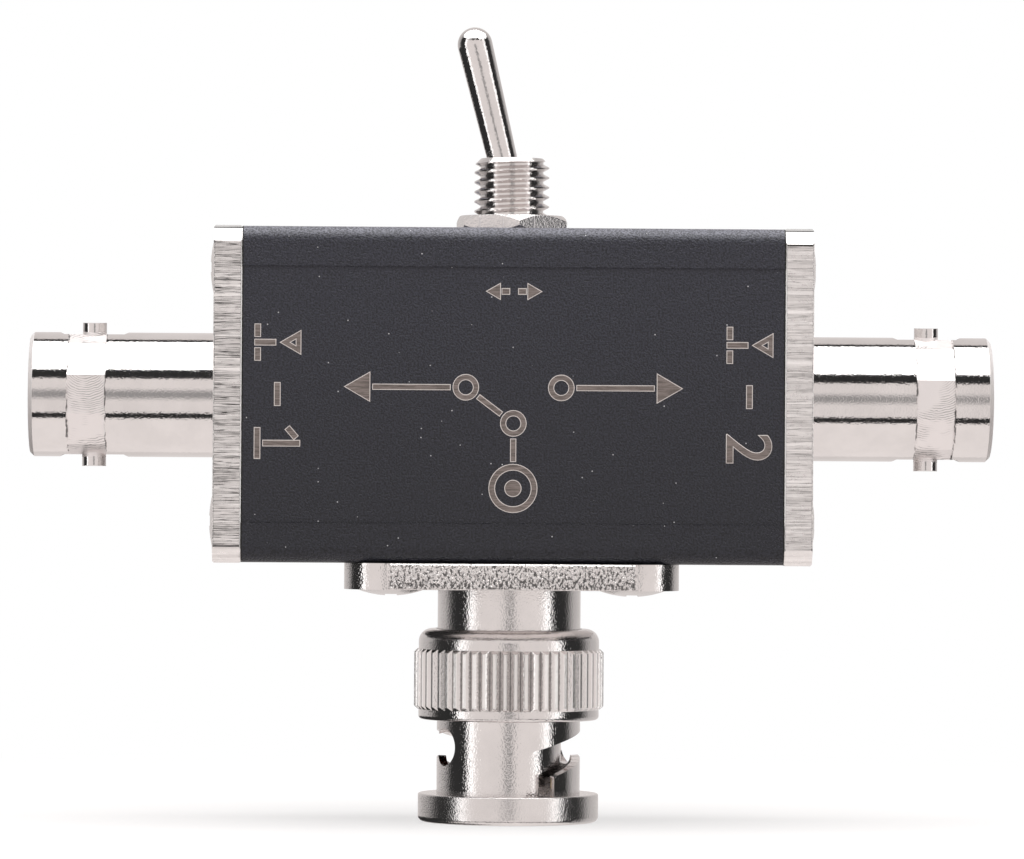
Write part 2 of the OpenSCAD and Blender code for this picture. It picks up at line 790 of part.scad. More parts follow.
// One bayonet slot: straight entry, rising ramp and round detent hole
module bayonet_slot() {
    cut_r = lug_span / 2 + 0.15;
    reach = cut_r + 0.3;
    steps = 8;
    end_t = 0.87;
    entry_top = ramp_top(0) - entry_w / 2;
    rotate([0, 0, entry_turn - 90]) {
        translate([0, -entry_w / 2, -over]) cube([cut_r, entry_w, ring_h + over]);
        translate([0, -entry_w / 2, ring_h]) cube([reach, entry_w, entry_top - ring_h]);
        translate([0, 0, entry_top]) rotate([0, 90, 0]) cylinder(d = entry_w, h = reach);
    }
    for (i = [0 : steps - 1]) {
        t0 = i * end_t / steps;
        t1 = (i + 1) * end_t / steps;
        half = sleeve_d / 2 * tan(lock_turn * end_t / steps / 2) * 1.02;
        rotate([0, 0, entry_turn - 90 + lock_turn * (t0 + t1) / 2])
            rotate([90, 0, 90]) linear_extrude(reach) polygon([
                [-half, ramp_low(t0)], [half, ramp_low(t1)],
                [half, ramp_top(t1)], [-half, ramp_top(t0)]
            ]);
    }
    rotate([0, 0, entry_turn - 90 + lock_turn]) translate([0, 0, detent_z])
        rotate([0, 90, 0]) cylinder(d = detent_d, h = reach);
}

module coupling_nut() {
    ring_r = ring_d / 2;
    sleeve_r = sleeve_d / 2;
    bore_r = sleeve_bore_d / 2;
    color(nickel) difference() {
        union() {
            rotate_extrude() {
                ring_section(0, ring_r, 0, ring_h, 0.45, 0.15);
                ring_section(0, sleeve_r, ring_h, lower_collar_z);
                ring_section(0, ring_r, lower_collar_z, knurl_z, 0.3, 0);
                ring_section(0, grip_r, knurl_z, upper_collar_z);
                ring_section(0, grip_r, upper_collar_z, nut_top_z, 0, 1);
            }
            knurl_band();
        }
        drum(bore_r + 0.3, bore_r, 0, 0.3);
        drum(bore_r, bore_r, -over, seat_z + over);
        drum(cavity_r, cavity_r, seat_z, lip_z);
        drum(lip_r, lip_r, lip_z - over, nut_top_z + over);
        for (a = [0, 180]) rotate([0, 0, a]) bayonet_slot();
    }
}

module coupling_thrust_washer() {
    color(steel) washer(journal_r + running_gap, cavity_r - running_gap, thrust_z, thrust_t);
}

// Wavy spring washer between the collar and the thrust washer
module coupling_wave_washer() {
    r_in = journal_r + 2 * running_gap;
    r_out = cavity_r - 2 * running_gap;
    low = collar_z + collar_t + seat_gap;
    rise = wave_room - wave_t - 2 * seat_gap;
    n = 16 * waves;
    section = [[r_in, 0], [r_out, 0], [r_out, wave_t], [r_in, wave_t]];
    points = [for (i = [0 : n - 1], p = section) [
        p[0] * cos(i * 360 / n), p[0] * sin(i * 360 / n),
        low + p[1] + rise * (1 - cos(waves * i * 360 / n)) / 2
    ]];
    faces = [for (i = [0 : n - 1], k = [0 : 3], half = [0, 1])
        let (a = 4 * i + k, b = 4 * i + (k + 1) % 4,
             c = (4 * (i + 1) + (k + 1) % 4) % (4 * n), d = (4 * (i + 1) + k) % (4 * n))
        half == 0 ? [a, b, c] : [a, c, d]];
    color(steel) polyhedron(points, faces);
}

// ---------- toggle switch ----------

// Half section of the bushing with its thread's grooves
module bushing_section() {
    bevel = 0.5;
    thread_low = box_top_z - wall;
    turns = floor((bushing_top_z - thread_low) / thread_pitch);
    intersection() {
        polygon(concat(
            [[0, case_top_z], [bushing_neck_r, case_top_z], [bushing_neck_r, frame_top_z],
             [thread_r, frame_top_z]],
            [for (i = [0 : turns - 1], p = [[thread_r, 0.06], [thread_root_r, 0.5], [thread_r, 0.94]])
                [p[0], thread_low + (i + p[1]) * thread_pitch]],
            [[thread_r, bushing_top_z], [0, bushing_top_z]]
        ));
        polygon([
            [0, case_top_z], [thread_r, case_top_z], [thread_r, bushing_top_z - bevel],
            [thread_r - bevel, bushing_top_z], [0, bushing_top_z]
        ]);
    }
}

module toggle_bushing() {
    step_z = pivot_z - 1.3;
    slot_r = pivot_pin_d / 2 + running_gap;
    color(nickel) difference() {
        rotate_extrude() bushing_section();
        drum(bushing_bore_r, bushing_bore_r, step_z, bushing_top_z + over);
        drum(tail_bore_r, tail_bore_r, case_top_z - over, step_z);
        translate([0, 0, pivot_z]) rotate([90, 0, 0])
            cylinder(r = slot_r, h = 2 * pin_slot_reach, center = true);
        translate([-slot_r, -pin_slot_reach, case_top_z - over])
            cube([2 * slot_r, 2 * pin_slot_reach, pivot_z - case_top_z + over]);
    }
}

module toggle_nut() {
    color(nickel) translate([0, 0, box_top_z]) rotate([0, 0, nut_turn - 90])
        hex_nut(nut_af, nut_t, thread_r + running_gap, nut_bevel);
}

module toggle_locating_washer() {
    color(steel) washer(thread_r + running_gap, case_d / 2 + 0.6, frame_top_z, locating_t);
}

// Frame pressed from sheet, with two legs that fold under the case
module toggle_frame() {
    leg_w = 4;
    leg_y = case_d / 2 + seat_gap;
    lip = 0.9;
    low = case_z - frame_t - seat_gap;
    color(steel) difference() {
        union() {
            translate([-case_w / 2, -case_d / 2, case_top_z]) cube([case_w, case_d, frame_t]);
            for (s = [0, 180]) rotate([0, 0, s]) {
                translate([-leg_w / 2, -leg_y - frame_t, low]) cube([leg_w, frame_t, frame_top_z - low]);
                translate([-leg_w / 2, -leg_y - frame_t, case_top_z]) cube([leg_w, frame_t * 2, frame_t]);
                translate([-leg_w / 2, -leg_y - frame_t, low]) cube([leg_w, frame_t + lip, frame_t]);
            }
        }
        drum(bushing_neck_r + seat_gap, bushing_neck_r + seat_gap, case_top_z - over, frame_top_z + over);
    }
}

module toggle_case() {
    inner_w = max(case_w - 2 * case_wall, 2 * (terminal_pitch + outer_head_r + terminal_gap));
    inner_d = case_d - 2 * case_wall;
    gap = seat_gap;
    color(dark_plastic) difference() {
        translate([-case_w / 2, -case_d / 2, case_z]) cube([case_w, case_d, case_h]);
        translate([-inner_w / 2, -inner_d / 2, case_floor_z]) cube([inner_w, inner_d, case_h]);
        for (x = [-terminal_pitch, 0, terminal_pitch])
            translate([x - blade_w / 2 - gap, -blade_t / 2 - gap, case_z - over])
                cube([blade_w + 2 * gap, blade_t + 2 * gap, case_h]);
    }
}

// Moves what it holds from the lever's own axis to the lever at rest
module on_lever() {
    translate([0, 0, pivot_z]) rotate([0, -lever_tilt, 0]) children();
}

module toggle_lever() {
    tip_r = lever_tip_d / 2;
    root_r = lever_root_d / 2;
    tail_r = tail_d / 2;
    well_r = plunger_r + running_gap;
    hole_r = pivot_pin_d / 2 + seat_gap;
    color(nickel) on_lever() difference() {
        union() {
            drum(tail_r, tail_r, -tail_len, 0);
            sphere(d = ball_d);
            drum(root_r, tip_r, 0, lever_len - tip_r);
            translate([0, 0, lever_len - tip_r]) sphere(r = tip_r);
        }
        drum(well_r, well_r, -tail_len - over, -pivot_pin_d);
        rotate([90, 0, 0]) cylinder(r = hole_r, h = ball_d + over, center = true);
    }
}

module toggle_pivot_pin() {
    length = 2 * (pin_slot_reach - running_gap);
    color(steel) on_lever() rotate([90, 0, 0]) cylinder(d = pivot_pin_d, h = length, center = true);
}

module toggle_plunger() {
    color(dark_plastic) on_lever() {
        translate([0, 0, plunger_r - plunger_reach]) sphere(plunger_r);
        drum(plunger_r, plunger_r, plunger_r - plunger_reach, plunger_len - plunger_reach);
    }
}

// Coil spring inside the lever's tail
module toggle_spring() {
    low = plunger_len - plunger_reach + spring_wire_d / 2 + seat_gap;
    high = -pivot_pin_d - spring_wire_d / 2 - seat_gap;
    coil_r = plunger_r - spring_wire_d / 2;
    rings = 8 * spring_turns;
    sides = 6;
    points = [for (i = [0 : rings], k = [0 : sides - 1])
        let (a = i * 45, r = coil_r + spring_wire_d / 2 * cos(k * 360 / sides))
        [r * cos(a), r * sin(a),
         low + (high - low) * i / rings + spring_wire_d / 2 * sin(k * 360 / sides)]];
    walls = [for (i = [0 : rings - 1], k = [0 : sides - 1], half = [0, 1])
        let (a = i * sides + k, b = i * sides + (k + 1) % sides, c = b + sides, d = a + sides)
        half == 0 ? [a, b, c] : [a, c, d]];
    ends = concat([for (k = [1 : sides - 2]) [0, k + 1, k]],
                  [for (k = [1 : sides - 2]) rings * sides * [1, 1, 1] + [0, k, k + 1]]);
    color(steel) on_lever() polyhedron(points, concat(walls, ends));
}

// Seesaw contact, at rest with its right end down on the right terminal
module toggle_rocker() {
    top = rocker_under + rocker_bar_t;
    color(gold) translate([0, 0, rocker_z]) rotate([0, rocker_tilt, 0]) difference() {
        union() {
            translate([-rocker_half, -rocker_d / 2, rocker_under])
                cube([2 * rocker_half, rocker_d, rocker_bar_t]);
            translate([-rocker_hub_half, -rocker_d / 2, -rocker_under])
                cube([2 * rocker_hub_half, rocker_d, top]);
            translate([-rocker_block_half, -rocker_d / 2, rocker_under])
                cube([2 * rocker_block_half, rocker_d, rocker_block_h - rocker_under]);
        }
        rotate([90, 0, 0])
            cylinder(r = saddle_r + running_gap, h = rocker_d + over, center = true);
        translate([0, 0, valley_floor + valley_r]) rotate([90, 0, 0])
            cylinder(r = valley_r, h = rocker_d + over, center = true);
    }
}

// Blade of a terminal, with the hole that its wire is soldered through
module terminal_blade(x) {
    translate([x, 0, 0]) difference() {
        translate([-blade_w / 2, -blade_t / 2, blade_z])
            cube([blade_w, blade_t, case_floor_z - blade_z]);
        translate([0, 0, blade_z + blade_w / 2]) rotate([90, 0, 0])
            cylinder(d = blade_w / 2, h = blade_t + over, center = true);
    }
}

module common_terminal() {
    post_w = 1.5 * saddle_r;
    color(tinned) {
        terminal_blade(0);
        translate([-post_w / 2, -rocker_d / 2, case_floor_z])
            cube([post_w, rocker_d, rocker_z - case_floor_z]);
        translate([0, 0, rocker_z]) rotate([90, 0, 0])
            cylinder(r = saddle_r, h = rocker_d, center = true);
    }
}

module outer_terminal(side) {
    dome_r = 2;
    color(tinned) {
        terminal_blade(side * terminal_pitch);
        translate([side * terminal_pitch, 0, 0]) intersection() {
            drum(outer_head_r, outer_head_r, case_floor_z, outer_head_z);
            translate([0, 0, outer_head_z - dome_r]) union() {
                sphere(dome_r);
                drum(dome_r, dome_r, -case_h, 0);
            }
        }
    }
}

// ---------- wiring ----------

module common_wire() {
    side_y = (blade_t + wire_d) / 2;
    cup_floor = cup_top_z - cup_len + cup_floor_t;
    color(tinned) wire([
        [0, 0, cup_floor + seat_gap], [0, 0, cup_top_z + 0.5],
        [0, side_y, blade_z - 0.5], [0, side_y, blade_z + blade_w]
    ], wire_d);
}

module jack_wire(side) {
    side_y = (blade_t + wire_d) / 2;
    cup_x = plate_x + plate_t + insulator_back - contact_back_t;
    color(tinned) on_side(side) wire([
        [cup_x - cup_floor_t - seat_gap, 0, axis_z], [cup_x - cup_len - 0.5, 0, axis_z],
        [(cup_x - cup_len + terminal_pitch) / 2, side_y / 2, blade_z - 0.3],
        [terminal_pitch + blade_w / 2, side_y, blade_z - blade_w / 2],
        [terminal_pitch, side_y, blade_z], [terminal_pitch, side_y, blade_z + blade_w]
    ], wire_d);
}

housing_tube();
end_plate(LEFT);  // left_end_plate
end_plate(RIGHT);  // right_end_plate
plate_screws(LEFT);  // left_plate_screws
plate_screws(RIGHT);  // right_plate_screws
jack_shell(LEFT);  // left_jack_shell
jack_insulator(LEFT);  // left_jack_insulator
jack_contact(LEFT);  // left_jack_contact
jack_washer(LEFT);  // left_jack_washer
jack_ground_tag(LEFT);  // left_jack_ground_tag
jack_nut(LEFT);  // left_jack_nut
jack_shell(RIGHT);  // right_jack_shell
jack_insulator(RIGHT);  // right_jack_insulator
jack_contact(RIGHT);  // right_jack_contact
jack_washer(RIGHT);  // right_jack_washer
jack_ground_tag(RIGHT);  // right_jack_ground_tag
jack_nut(RIGHT);  // right_jack_nut
plug_flange();
flange_screws();
plug_outer_contact();
plug_insulator();
plug_center_pin();
plug_gasket();
coupling_nut();
coupling_thrust_washer();
coupling_wave_washer();
toggle_bushing();
toggle_nut();
toggle_locating_washer();
toggle_frame();
toggle_case();
toggle_lever();
toggle_pivot_pin();
toggle_plunger();
toggle_spring();
toggle_rocker();
common_terminal();
outer_terminal(LEFT);  // left_terminal
outer_terminal(RIGHT);  // right_terminal
common_wire();
jack_wire(LEFT);  // left_wire
jack_wire(RIGHT);  // right_wire
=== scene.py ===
"""Looks of a two-way coaxial antenna switch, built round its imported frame.

Metres, +Z up, the front towards -Y, as in the frame. The first part places the camera, the light and
the floor, the second makes the finishes, and the third models the pieces that the frame leaves plain.
"""
import json
import math

import bpy
from mathutils import Matrix, Vector


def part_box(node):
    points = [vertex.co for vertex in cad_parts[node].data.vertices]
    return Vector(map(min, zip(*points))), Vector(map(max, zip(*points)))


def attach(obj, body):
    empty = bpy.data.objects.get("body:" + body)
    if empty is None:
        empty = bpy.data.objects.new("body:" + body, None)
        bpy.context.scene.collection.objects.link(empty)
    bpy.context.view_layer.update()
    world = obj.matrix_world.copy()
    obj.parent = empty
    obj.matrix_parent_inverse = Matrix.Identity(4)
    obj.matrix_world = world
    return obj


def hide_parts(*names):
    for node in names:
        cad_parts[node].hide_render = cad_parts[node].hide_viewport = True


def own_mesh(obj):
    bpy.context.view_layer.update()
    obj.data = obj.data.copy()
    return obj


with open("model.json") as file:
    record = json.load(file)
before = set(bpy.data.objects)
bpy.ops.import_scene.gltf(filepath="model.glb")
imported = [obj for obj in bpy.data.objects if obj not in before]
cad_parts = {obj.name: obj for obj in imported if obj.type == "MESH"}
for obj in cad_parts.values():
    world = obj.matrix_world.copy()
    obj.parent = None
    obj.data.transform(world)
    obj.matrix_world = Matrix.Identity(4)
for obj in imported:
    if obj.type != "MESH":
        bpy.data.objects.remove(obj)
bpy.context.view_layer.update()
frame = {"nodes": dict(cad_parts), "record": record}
nodes = frame["nodes"]

MM = 0.001
WHITE = (1.0, 1.0, 1.0, 1.0)
BLACK = (0.0, 0.0, 0.0, 1.0)

housing_low, housing_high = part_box("housing_tube")
axis_z = (housing_low.z + housing_high.z) / 2


# ---------- node helpers ----------

def add(tree, kind, inputs=None, **settings):
    """Adds a node. A socket given in inputs is linked, and a plain value is set."""
    node = tree.nodes.new(kind)
    for name, value in settings.items():
        setattr(node, name, value)
    for key, value in (inputs or {}).items():
        if isinstance(value, bpy.types.NodeSocket):
            tree.links.new(value, node.inputs[key])
        else:
            node.inputs[key].default_value = value
    return node


def calc(tree, operation, *values, clamp=False):
    """Result of one Math node."""
    node = add(tree, "ShaderNodeMath", dict(enumerate(values)), operation=operation, use_clamp=clamp)
    return node.outputs[0]


def ramp_between(tree, value, start, end, low=0.0, high=1.0):
    """Smooth step of value from start to end."""
    node = add(tree, "ShaderNodeMapRange",
               {"Value": value, "From Min": start, "From Max": end, "To Min": low, "To Max": high},
               interpolation_type="SMOOTHSTEP")
    return node.outputs[0]


def calc_vector(tree, x, y, z):
    """Vector of three values."""
    return add(tree, "ShaderNodeCombineXYZ", {0: x, 1: y, 2: z}).outputs[0]


def split(tree, vector):
    """The vector's three values."""
    return add(tree, "ShaderNodeSeparateXYZ", {0: vector}).outputs


def object_point(tree):
    """The shaded point, in metres from the object's origin."""
    return add(tree, "ShaderNodeTexCoord").outputs["Object"]


def stretch(tree, vector, factors):
    """The vector with each value times its own factor."""
    return add(tree, "ShaderNodeVectorMath", {0: vector, 1: factors}, operation="MULTIPLY").outputs[0]


def length_of(tree, vector):
    """The vector's length."""
    return add(tree, "ShaderNodeVectorMath", {0: vector}, operation="LENGTH").outputs["Value"]


def both(tree, first, second):
    """Product of two masks."""
    return calc(tree, "MULTIPLY", first, second)


def mix_colors(tree, factor, first, second):
    """First where factor is 0, second where it is 1."""
    node = add(tree, "ShaderNodeMix", {0: factor, 6: first, 7: second}, data_type="RGBA")
    return node.outputs[2]


def shade(color, gain):
    """A colour made lighter or darker, with its alpha."""
    return tuple(min(1.0, c * gain) for c in color[:3]) + (1.0,)


# ---------- camera ----------

CAMERA_DISTANCE = 490 * MM
CAMERA_HEIGHT = 28 * MM
CAMERA_SIDE = -8.7 * MM
CAMERA_AIM = Vector((0.13, 0, 30.3)) * MM
CAMERA_LENS = 222.7
CAMERA_ROLL = math.radians(0.37)


def place_camera():
    """Long lens on the front, a little to the left."""
    data = bpy.data.cameras.new("camera")
    data.lens = CAMERA_LENS
    data.clip_start = 0.01
    camera = bpy.data.objects.new("camera", data)
    bpy.context.scene.collection.objects.link(camera)
    camera.location = (CAMERA_SIDE, -CAMERA_DISTANCE, CAMERA_HEIGHT)
    look = (CAMERA_AIM - camera.location).to_track_quat("-Z", "Y")
    camera.rotation_euler = (look.to_matrix() @ Matrix.Rotation(CAMERA_ROLL, 3, "Z")).to_euler()
    bpy.context.scene.camera = camera


# ---------- light, world and floor ----------

# Round the horizon: degrees from the front, how bright the studio is there, and how warm from 0 to 1
STUDIO_BANDS = (
    (0, 0.34, 0.5), (5, 0.36, 0.5), (9, 0.84, 1), (56, 0.88, 1), (60, 1.5, 0.2), (69, 1.5, 0.2),
    (71.5, 0.03, 0), (106, 0.035, 0), (124, 0.50, 0.6), (180, 0.78, 1),
)
CARD_TOP = math.radians(28.5)
BACKDROP_TOP = math.radians(55)
SEAM_TOP = math.radians(-35.5)
SEAM_LOW = math.radians(-44)
# Soft edges in radians, each from where it starts to show to where it is full
GAP_TURN = (0.16, 0.09)
GAP_RISE = (0.23, 0.03)
BACKDROP_TURN = (1.4, 1.7)
SEAM_TURN = (1.5, 1.2)
TOP_BLUR = 0.04
SEAM_BLUR = 0.03
# Soft edges of the dark patch behind on the left, as parts of the direction, and of its top in radians
PATCH_BACK = (0.1, 0.3)
PATCH_LEFT = (-0.1, -0.2)
PATCH_RISE = (-0.07, -0.11)
DARK_LEVEL = 0.03
CARD_LEVEL = 0.86
TABLE_LEVEL = 0.92
# How much of its green and of its blue the warmest light lacks
WARM_GREEN = 0.06
WARM_BLUE = 0.08
SOFTBOX_HEIGHT = 350 * MM
SOFTBOX_SIZE = (0.90, 0.484)
SOFTBOX_Y = -84 * MM
SOFTBOX_POWER = 4.05
FLOOR_RADIUS = 210 * MM
FLOOR_DROP = 0.03 * MM
FLOOR_FADE = (20 * MM, 110 * MM)
FLOOR_GLOW = 0.62
FLOOR_COLOR = (0.86, 0.83, 0.82, 1.0)


def studio_color(level, warmth):
    """Light of a card: neutral at warmth 0 and a little warm at 1."""
    return (level, level * (1 - WARM_GREEN * warmth), level * (1 - WARM_BLUE * warmth), 1.0)


def make_world():
    """Studio seen as a sphere: cards, two side softboxes and dark gaps between them and the backdrop."""
    world = bpy.data.worlds.new("studio")
    bpy.context.scene.world = world
    world.use_nodes = True
    tree = world.node_tree
    tree.nodes.clear()
    direction = add(tree, "ShaderNodeTexCoord").outputs["Generated"]
    axes = split(tree, direction)
    turn = calc(tree, "ABSOLUTE", calc(tree, "ARCTAN2", axes[0], calc(tree, "MULTIPLY", axes[1], -1.0)))
    rise = calc(tree, "ARCSINE", axes[2])
    bands = add(tree, "ShaderNodeValToRGB", {0: calc(tree, "DIVIDE", turn, math.pi)})
    stops = bands.color_ramp.elements
    while len(stops) < len(STUDIO_BANDS):
        stops.new(0.5)
    for stop, (angle, level, warmth) in zip(stops, STUDIO_BANDS):
        stop.position = angle / 180
        stop.color = studio_color(level, warmth)
    dark = studio_color(DARK_LEVEL, 0)
    center = ramp_between(tree, turn, *GAP_TURN)
    camera_gap = both(tree, center, ramp_between(tree, calc(tree, "ABSOLUTE", rise), *GAP_RISE))
    card = mix_colors(tree, calc(tree, "SUBTRACT", center, camera_gap, clamp=True),
                      bands.outputs[0], studio_color(CARD_LEVEL, 1))
    behind = ramp_between(tree, turn, *BACKDROP_TURN)
    top_edge = calc(tree, "ADD", CARD_TOP, calc(tree, "MULTIPLY", behind, BACKDROP_TOP - CARD_TOP))
    inside = ramp_between(tree, calc(tree, "SUBTRACT", rise, top_edge), TOP_BLUR, 0.0)
    upper = mix_colors(tree, inside, dark, card)
    in_seam = both(tree, ramp_between(tree, rise, SEAM_TOP + SEAM_BLUR, SEAM_TOP),
                   ramp_between(tree, turn, *SEAM_TURN))
    seam = mix_colors(tree, in_seam, upper, dark)
    table = ramp_between(tree, rise, SEAM_LOW, SEAM_LOW - SEAM_BLUR)
    lit = mix_colors(tree, table, seam, studio_color(TABLE_LEVEL, 1))
    left_back = both(tree, ramp_between(tree, axes[1], *PATCH_BACK), ramp_between(tree, axes[0], *PATCH_LEFT))
    shadow_side = both(tree, left_back, ramp_between(tree, rise, *PATCH_RISE))
    studio = mix_colors(tree, shadow_side, lit, dark)
    light_path = add(tree, "ShaderNodeLightPath")
    shown = mix_colors(tree, light_path.outputs["Is Camera Ray"], studio, WHITE)
    background = add(tree, "ShaderNodeBackground", {"Color": shown, "Strength": 1.0})
    add(tree, "ShaderNodeOutputWorld", {"Surface": background.outputs[0]})


def place_softbox():
    """Large soft lamp over the object, a little to the front."""
    data = bpy.data.lights.new("top_softbox", "AREA")
    data.shape = "RECTANGLE"
    data.size, data.size_y = SOFTBOX_SIZE
    data.energy = SOFTBOX_POWER
    lamp = bpy.data.objects.new("top_softbox", data)
    bpy.context.scene.collection.objects.link(lamp)
    lamp.location = (0, SOFTBOX_Y, axis_z + SOFTBOX_HEIGHT)
    lamp.visible_camera = False


def make_floor():
    """Round pale floor that keeps a soft shadow and fades to the white backdrop at its rim."""
    bpy.ops.object.select_all(action="DESELECT")
    bpy.ops.mesh.primitive_circle_add(vertices=96, radius=FLOOR_RADIUS, fill_type="NGON",
                                      location=(0, 0, -FLOOR_DROP))
    floor = bpy.context.object
    floor.name = "floor"
    material = bpy.data.materials.new("pale_floor")
    material.use_nodes = True
    tree = material.node_tree
    tree.nodes.clear()
    radius = length_of(tree, object_point(tree))
    paths = add(tree, "ShaderNodeLightPath").outputs
    sheet = add(tree, "ShaderNodeBsdfDiffuse", {"Color": FLOOR_COLOR})
    seen = calc(tree, "ADD", paths["Is Camera Ray"], paths["Is Transmission Ray"], clamp=True)
    fade = both(tree, seen, ramp_between(tree, radius, *FLOOR_FADE, FLOOR_GLOW, 1.0))
    glow = add(tree, "ShaderNodeEmission", {"Color": WHITE, "Strength": 1.0})
    paper = add(tree, "ShaderNodeMixShader", {0: fade, 1: sheet.outputs[0], 2: glow.outputs[0]})
    clear = add(tree, "ShaderNodeBsdfTransparent")
    from_below = calc(tree, "MULTIPLY", seen, add(tree, "ShaderNodeNewGeometry").outputs["Backfacing"])
    hidden = calc(tree, "ADD", paths["Is Glossy Ray"], from_below, clamp=True)
    surface = add(tree, "ShaderNodeMixShader", {0: hidden, 1: paper.outputs[0], 2: clear.outputs[0]})
    add(tree, "ShaderNodeOutputMaterial", {"Surface": surface.outputs[0]})
    floor.data.materials.append(material)


# ---------- shared effects ----------

def new_group(name, inputs, outputs):
    """Shader group with number inputs and outputs; returns it with its inner sockets."""
    tree = bpy.data.node_groups.new(name, "ShaderNodeTree")
    for label, value in inputs.items():
        kind = "NodeSocketVector" if isinstance(value, tuple) else "NodeSocketFloat"
        tree.interface.new_socket(label, in_out="INPUT", socket_type=kind).default_value = value
    for label in outputs:
        tree.interface.new_socket(label, in_out="OUTPUT", socket_type="NodeSocketFloat")
    return tree, tree.nodes.new("NodeGroupInput").outputs, tree.nodes.new("NodeGroupOutput").inputs


def noise(tree, vector, scale, detail=2.0, rough=0.55):
    """Noise texture's value."""
    node = add(tree, "ShaderNodeTexNoise",
               {"Vector": vector, "Scale": scale, "Detail": detail, "Roughness": rough})
    return node.outputs[0]


def make_grain_group():
    """Fine grain of a blasted or plated surface, with slow changes of tone."""
    tree, given, result = new_group("fine_grain", {"Grain Scale": 8000.0, "Patch Scale": 300.0},
                                    ("Height", "Tone", "Patches"))
    spot = object_point(tree)
    fine = noise(tree, spot, given["Grain Scale"], 1.0, 0.5)
    half = noise(tree, spot, calc(tree, "MULTIPLY", given["Grain Scale"], 0.43), 2.0)
    slow = noise(tree, spot, given["Patch Scale"], 4.0, 0.6)
    tree.links.new(ramp_between(tree, fine, 0.25, 0.75), result["Height"])
    tree.links.new(ramp_between(tree, half, 0.3, 0.7), result["Tone"])
    tree.links.new(ramp_between(tree, slow, 0.3, 0.7), result["Patches"])
    return tree


def make_lines_group():
    """Lines left by a tool: noise drawn out along one axis, and a few deep ones apart."""
    tree, given, result = new_group("tool_lines",
                                    {"Density": (300.0, 6000.0, 6000.0), "Turn": (0.0, 0.0, 0.0)},
                                    ("Lines", "Deep"))
    turned = add(tree, "ShaderNodeVectorRotate", {"Vector": object_point(tree), "Rotation": given["Turn"]},
                 rotation_type="EULER_XYZ").outputs[0]
    drawn = stretch(tree, turned, given["Density"])
    lines = noise(tree, drawn, 1.0, 3.0, 0.65)
    sparse = noise(tree, drawn, 0.41, 2.0, 0.5)
    tree.links.new(ramp_between(tree, lines, 0.3, 0.7), result["Lines"])
    tree.links.new(ramp_between(tree, sparse, 0.6, 0.72), result["Deep"])
    return tree


GRAIN = make_grain_group()
LINES = make_lines_group()


def use_group(tree, group, **values):
    """Places a shared effect; an underscore in a value's name stands for a space."""
    node = tree.nodes.new("ShaderNodeGroup")
    node.node_tree = group
    for name, value in values.items():
        node.inputs[name.replace("_", " ")].default_value = value
    return node.outputs


# ---------- finishes ----------

def start_material(name):
    """Material with only its shader, for the functions below to fill."""
    material = bpy.data.materials.new(name)
    material.use_nodes = True
    tree = material.node_tree
    tree.nodes.clear()
    shader = add(tree, "ShaderNodeBsdfPrincipled")
    add(tree, "ShaderNodeOutputMaterial", {"Surface": shader.outputs[0]})
    return material, tree, shader


def set_bump(tree, shader, height, depth, strength=1.0):
    """Feeds a height from 0 to 1, depth metres deep, to the shader's normal."""
    bump = add(tree, "ShaderNodeBump", {"Height": height, "Strength": strength, "Distance": depth})
    tree.links.new(bump.outputs[0], shader.inputs["Normal"])


def set_color(tree, shader, factor, color, dark_gain, light_gain):
    """Base colour between a darker and a lighter shade of one colour."""
    tree.links.new(mix_colors(tree, factor, shade(color, dark_gain), shade(color, light_gain)),
                   shader.inputs["Base Color"])


PLATING_PATCHES = 260.0
PLATING_LINES = (420.0, 9000.0, 5200.0)


def plated_metal(name, color, rough=0.055, grain=6500.0, depth=5e-6, turn=(0.0, 0.0, 0.0), scratch=0.3):
    """Bright plating over turned metal: fine grain, slow tone, faint scratches."""
    material, tree, shader = start_material(name)
    fine = use_group(tree, GRAIN, Grain_Scale=grain, Patch_Scale=PLATING_PATCHES)
    lines = use_group(tree, LINES, Density=PLATING_LINES, Turn=turn)
    shader.inputs["Metallic"].default_value = 1.0
    set_color(tree, shader, fine["Patches"], color, 0.95, 1.03)
    roughness = calc(tree, "ADD", rough, calc(tree, "MULTIPLY", fine["Tone"], 0.06))
    marked = calc(tree, "ADD", roughness, calc(tree, "MULTIPLY", lines["Deep"], scratch * 0.3))
    tree.links.new(marked, shader.inputs["Roughness"])
    height = calc(tree, "SUBTRACT", fine["Height"], calc(tree, "MULTIPLY", lines["Deep"], scratch))
    set_bump(tree, shader, height, depth)
    return material


NICKEL_COLOR = (0.80, 0.772, 0.762)
DIAGONAL = (0.0, math.radians(52), 0.0)
UPRIGHT = (0.0, math.radians(90), 0.0)
SURFACE_GAP = 0.03 * MM


def nickel_tone(tree, fine):
    """Base colour of the nickel, with its slow changes."""
    return mix_colors(tree, fine["Patches"], shade(NICKEL_COLOR, 0.95), shade(NICKEL_COLOR, 1.03))


# The flange's polished corners start here, from its middle; its edge is polished at the top and bottom
FLANGE_CORNER = (9.5 * MM, 9.1 * MM)
FLANGE_THICKNESS = 2.0 * MM
FLANGE_RIM = 0.16 * MM
BROKEN_DENSITY = (5600.0, 5600.0, 3600.0)
BROKEN_DEPTH = 0.13 * MM


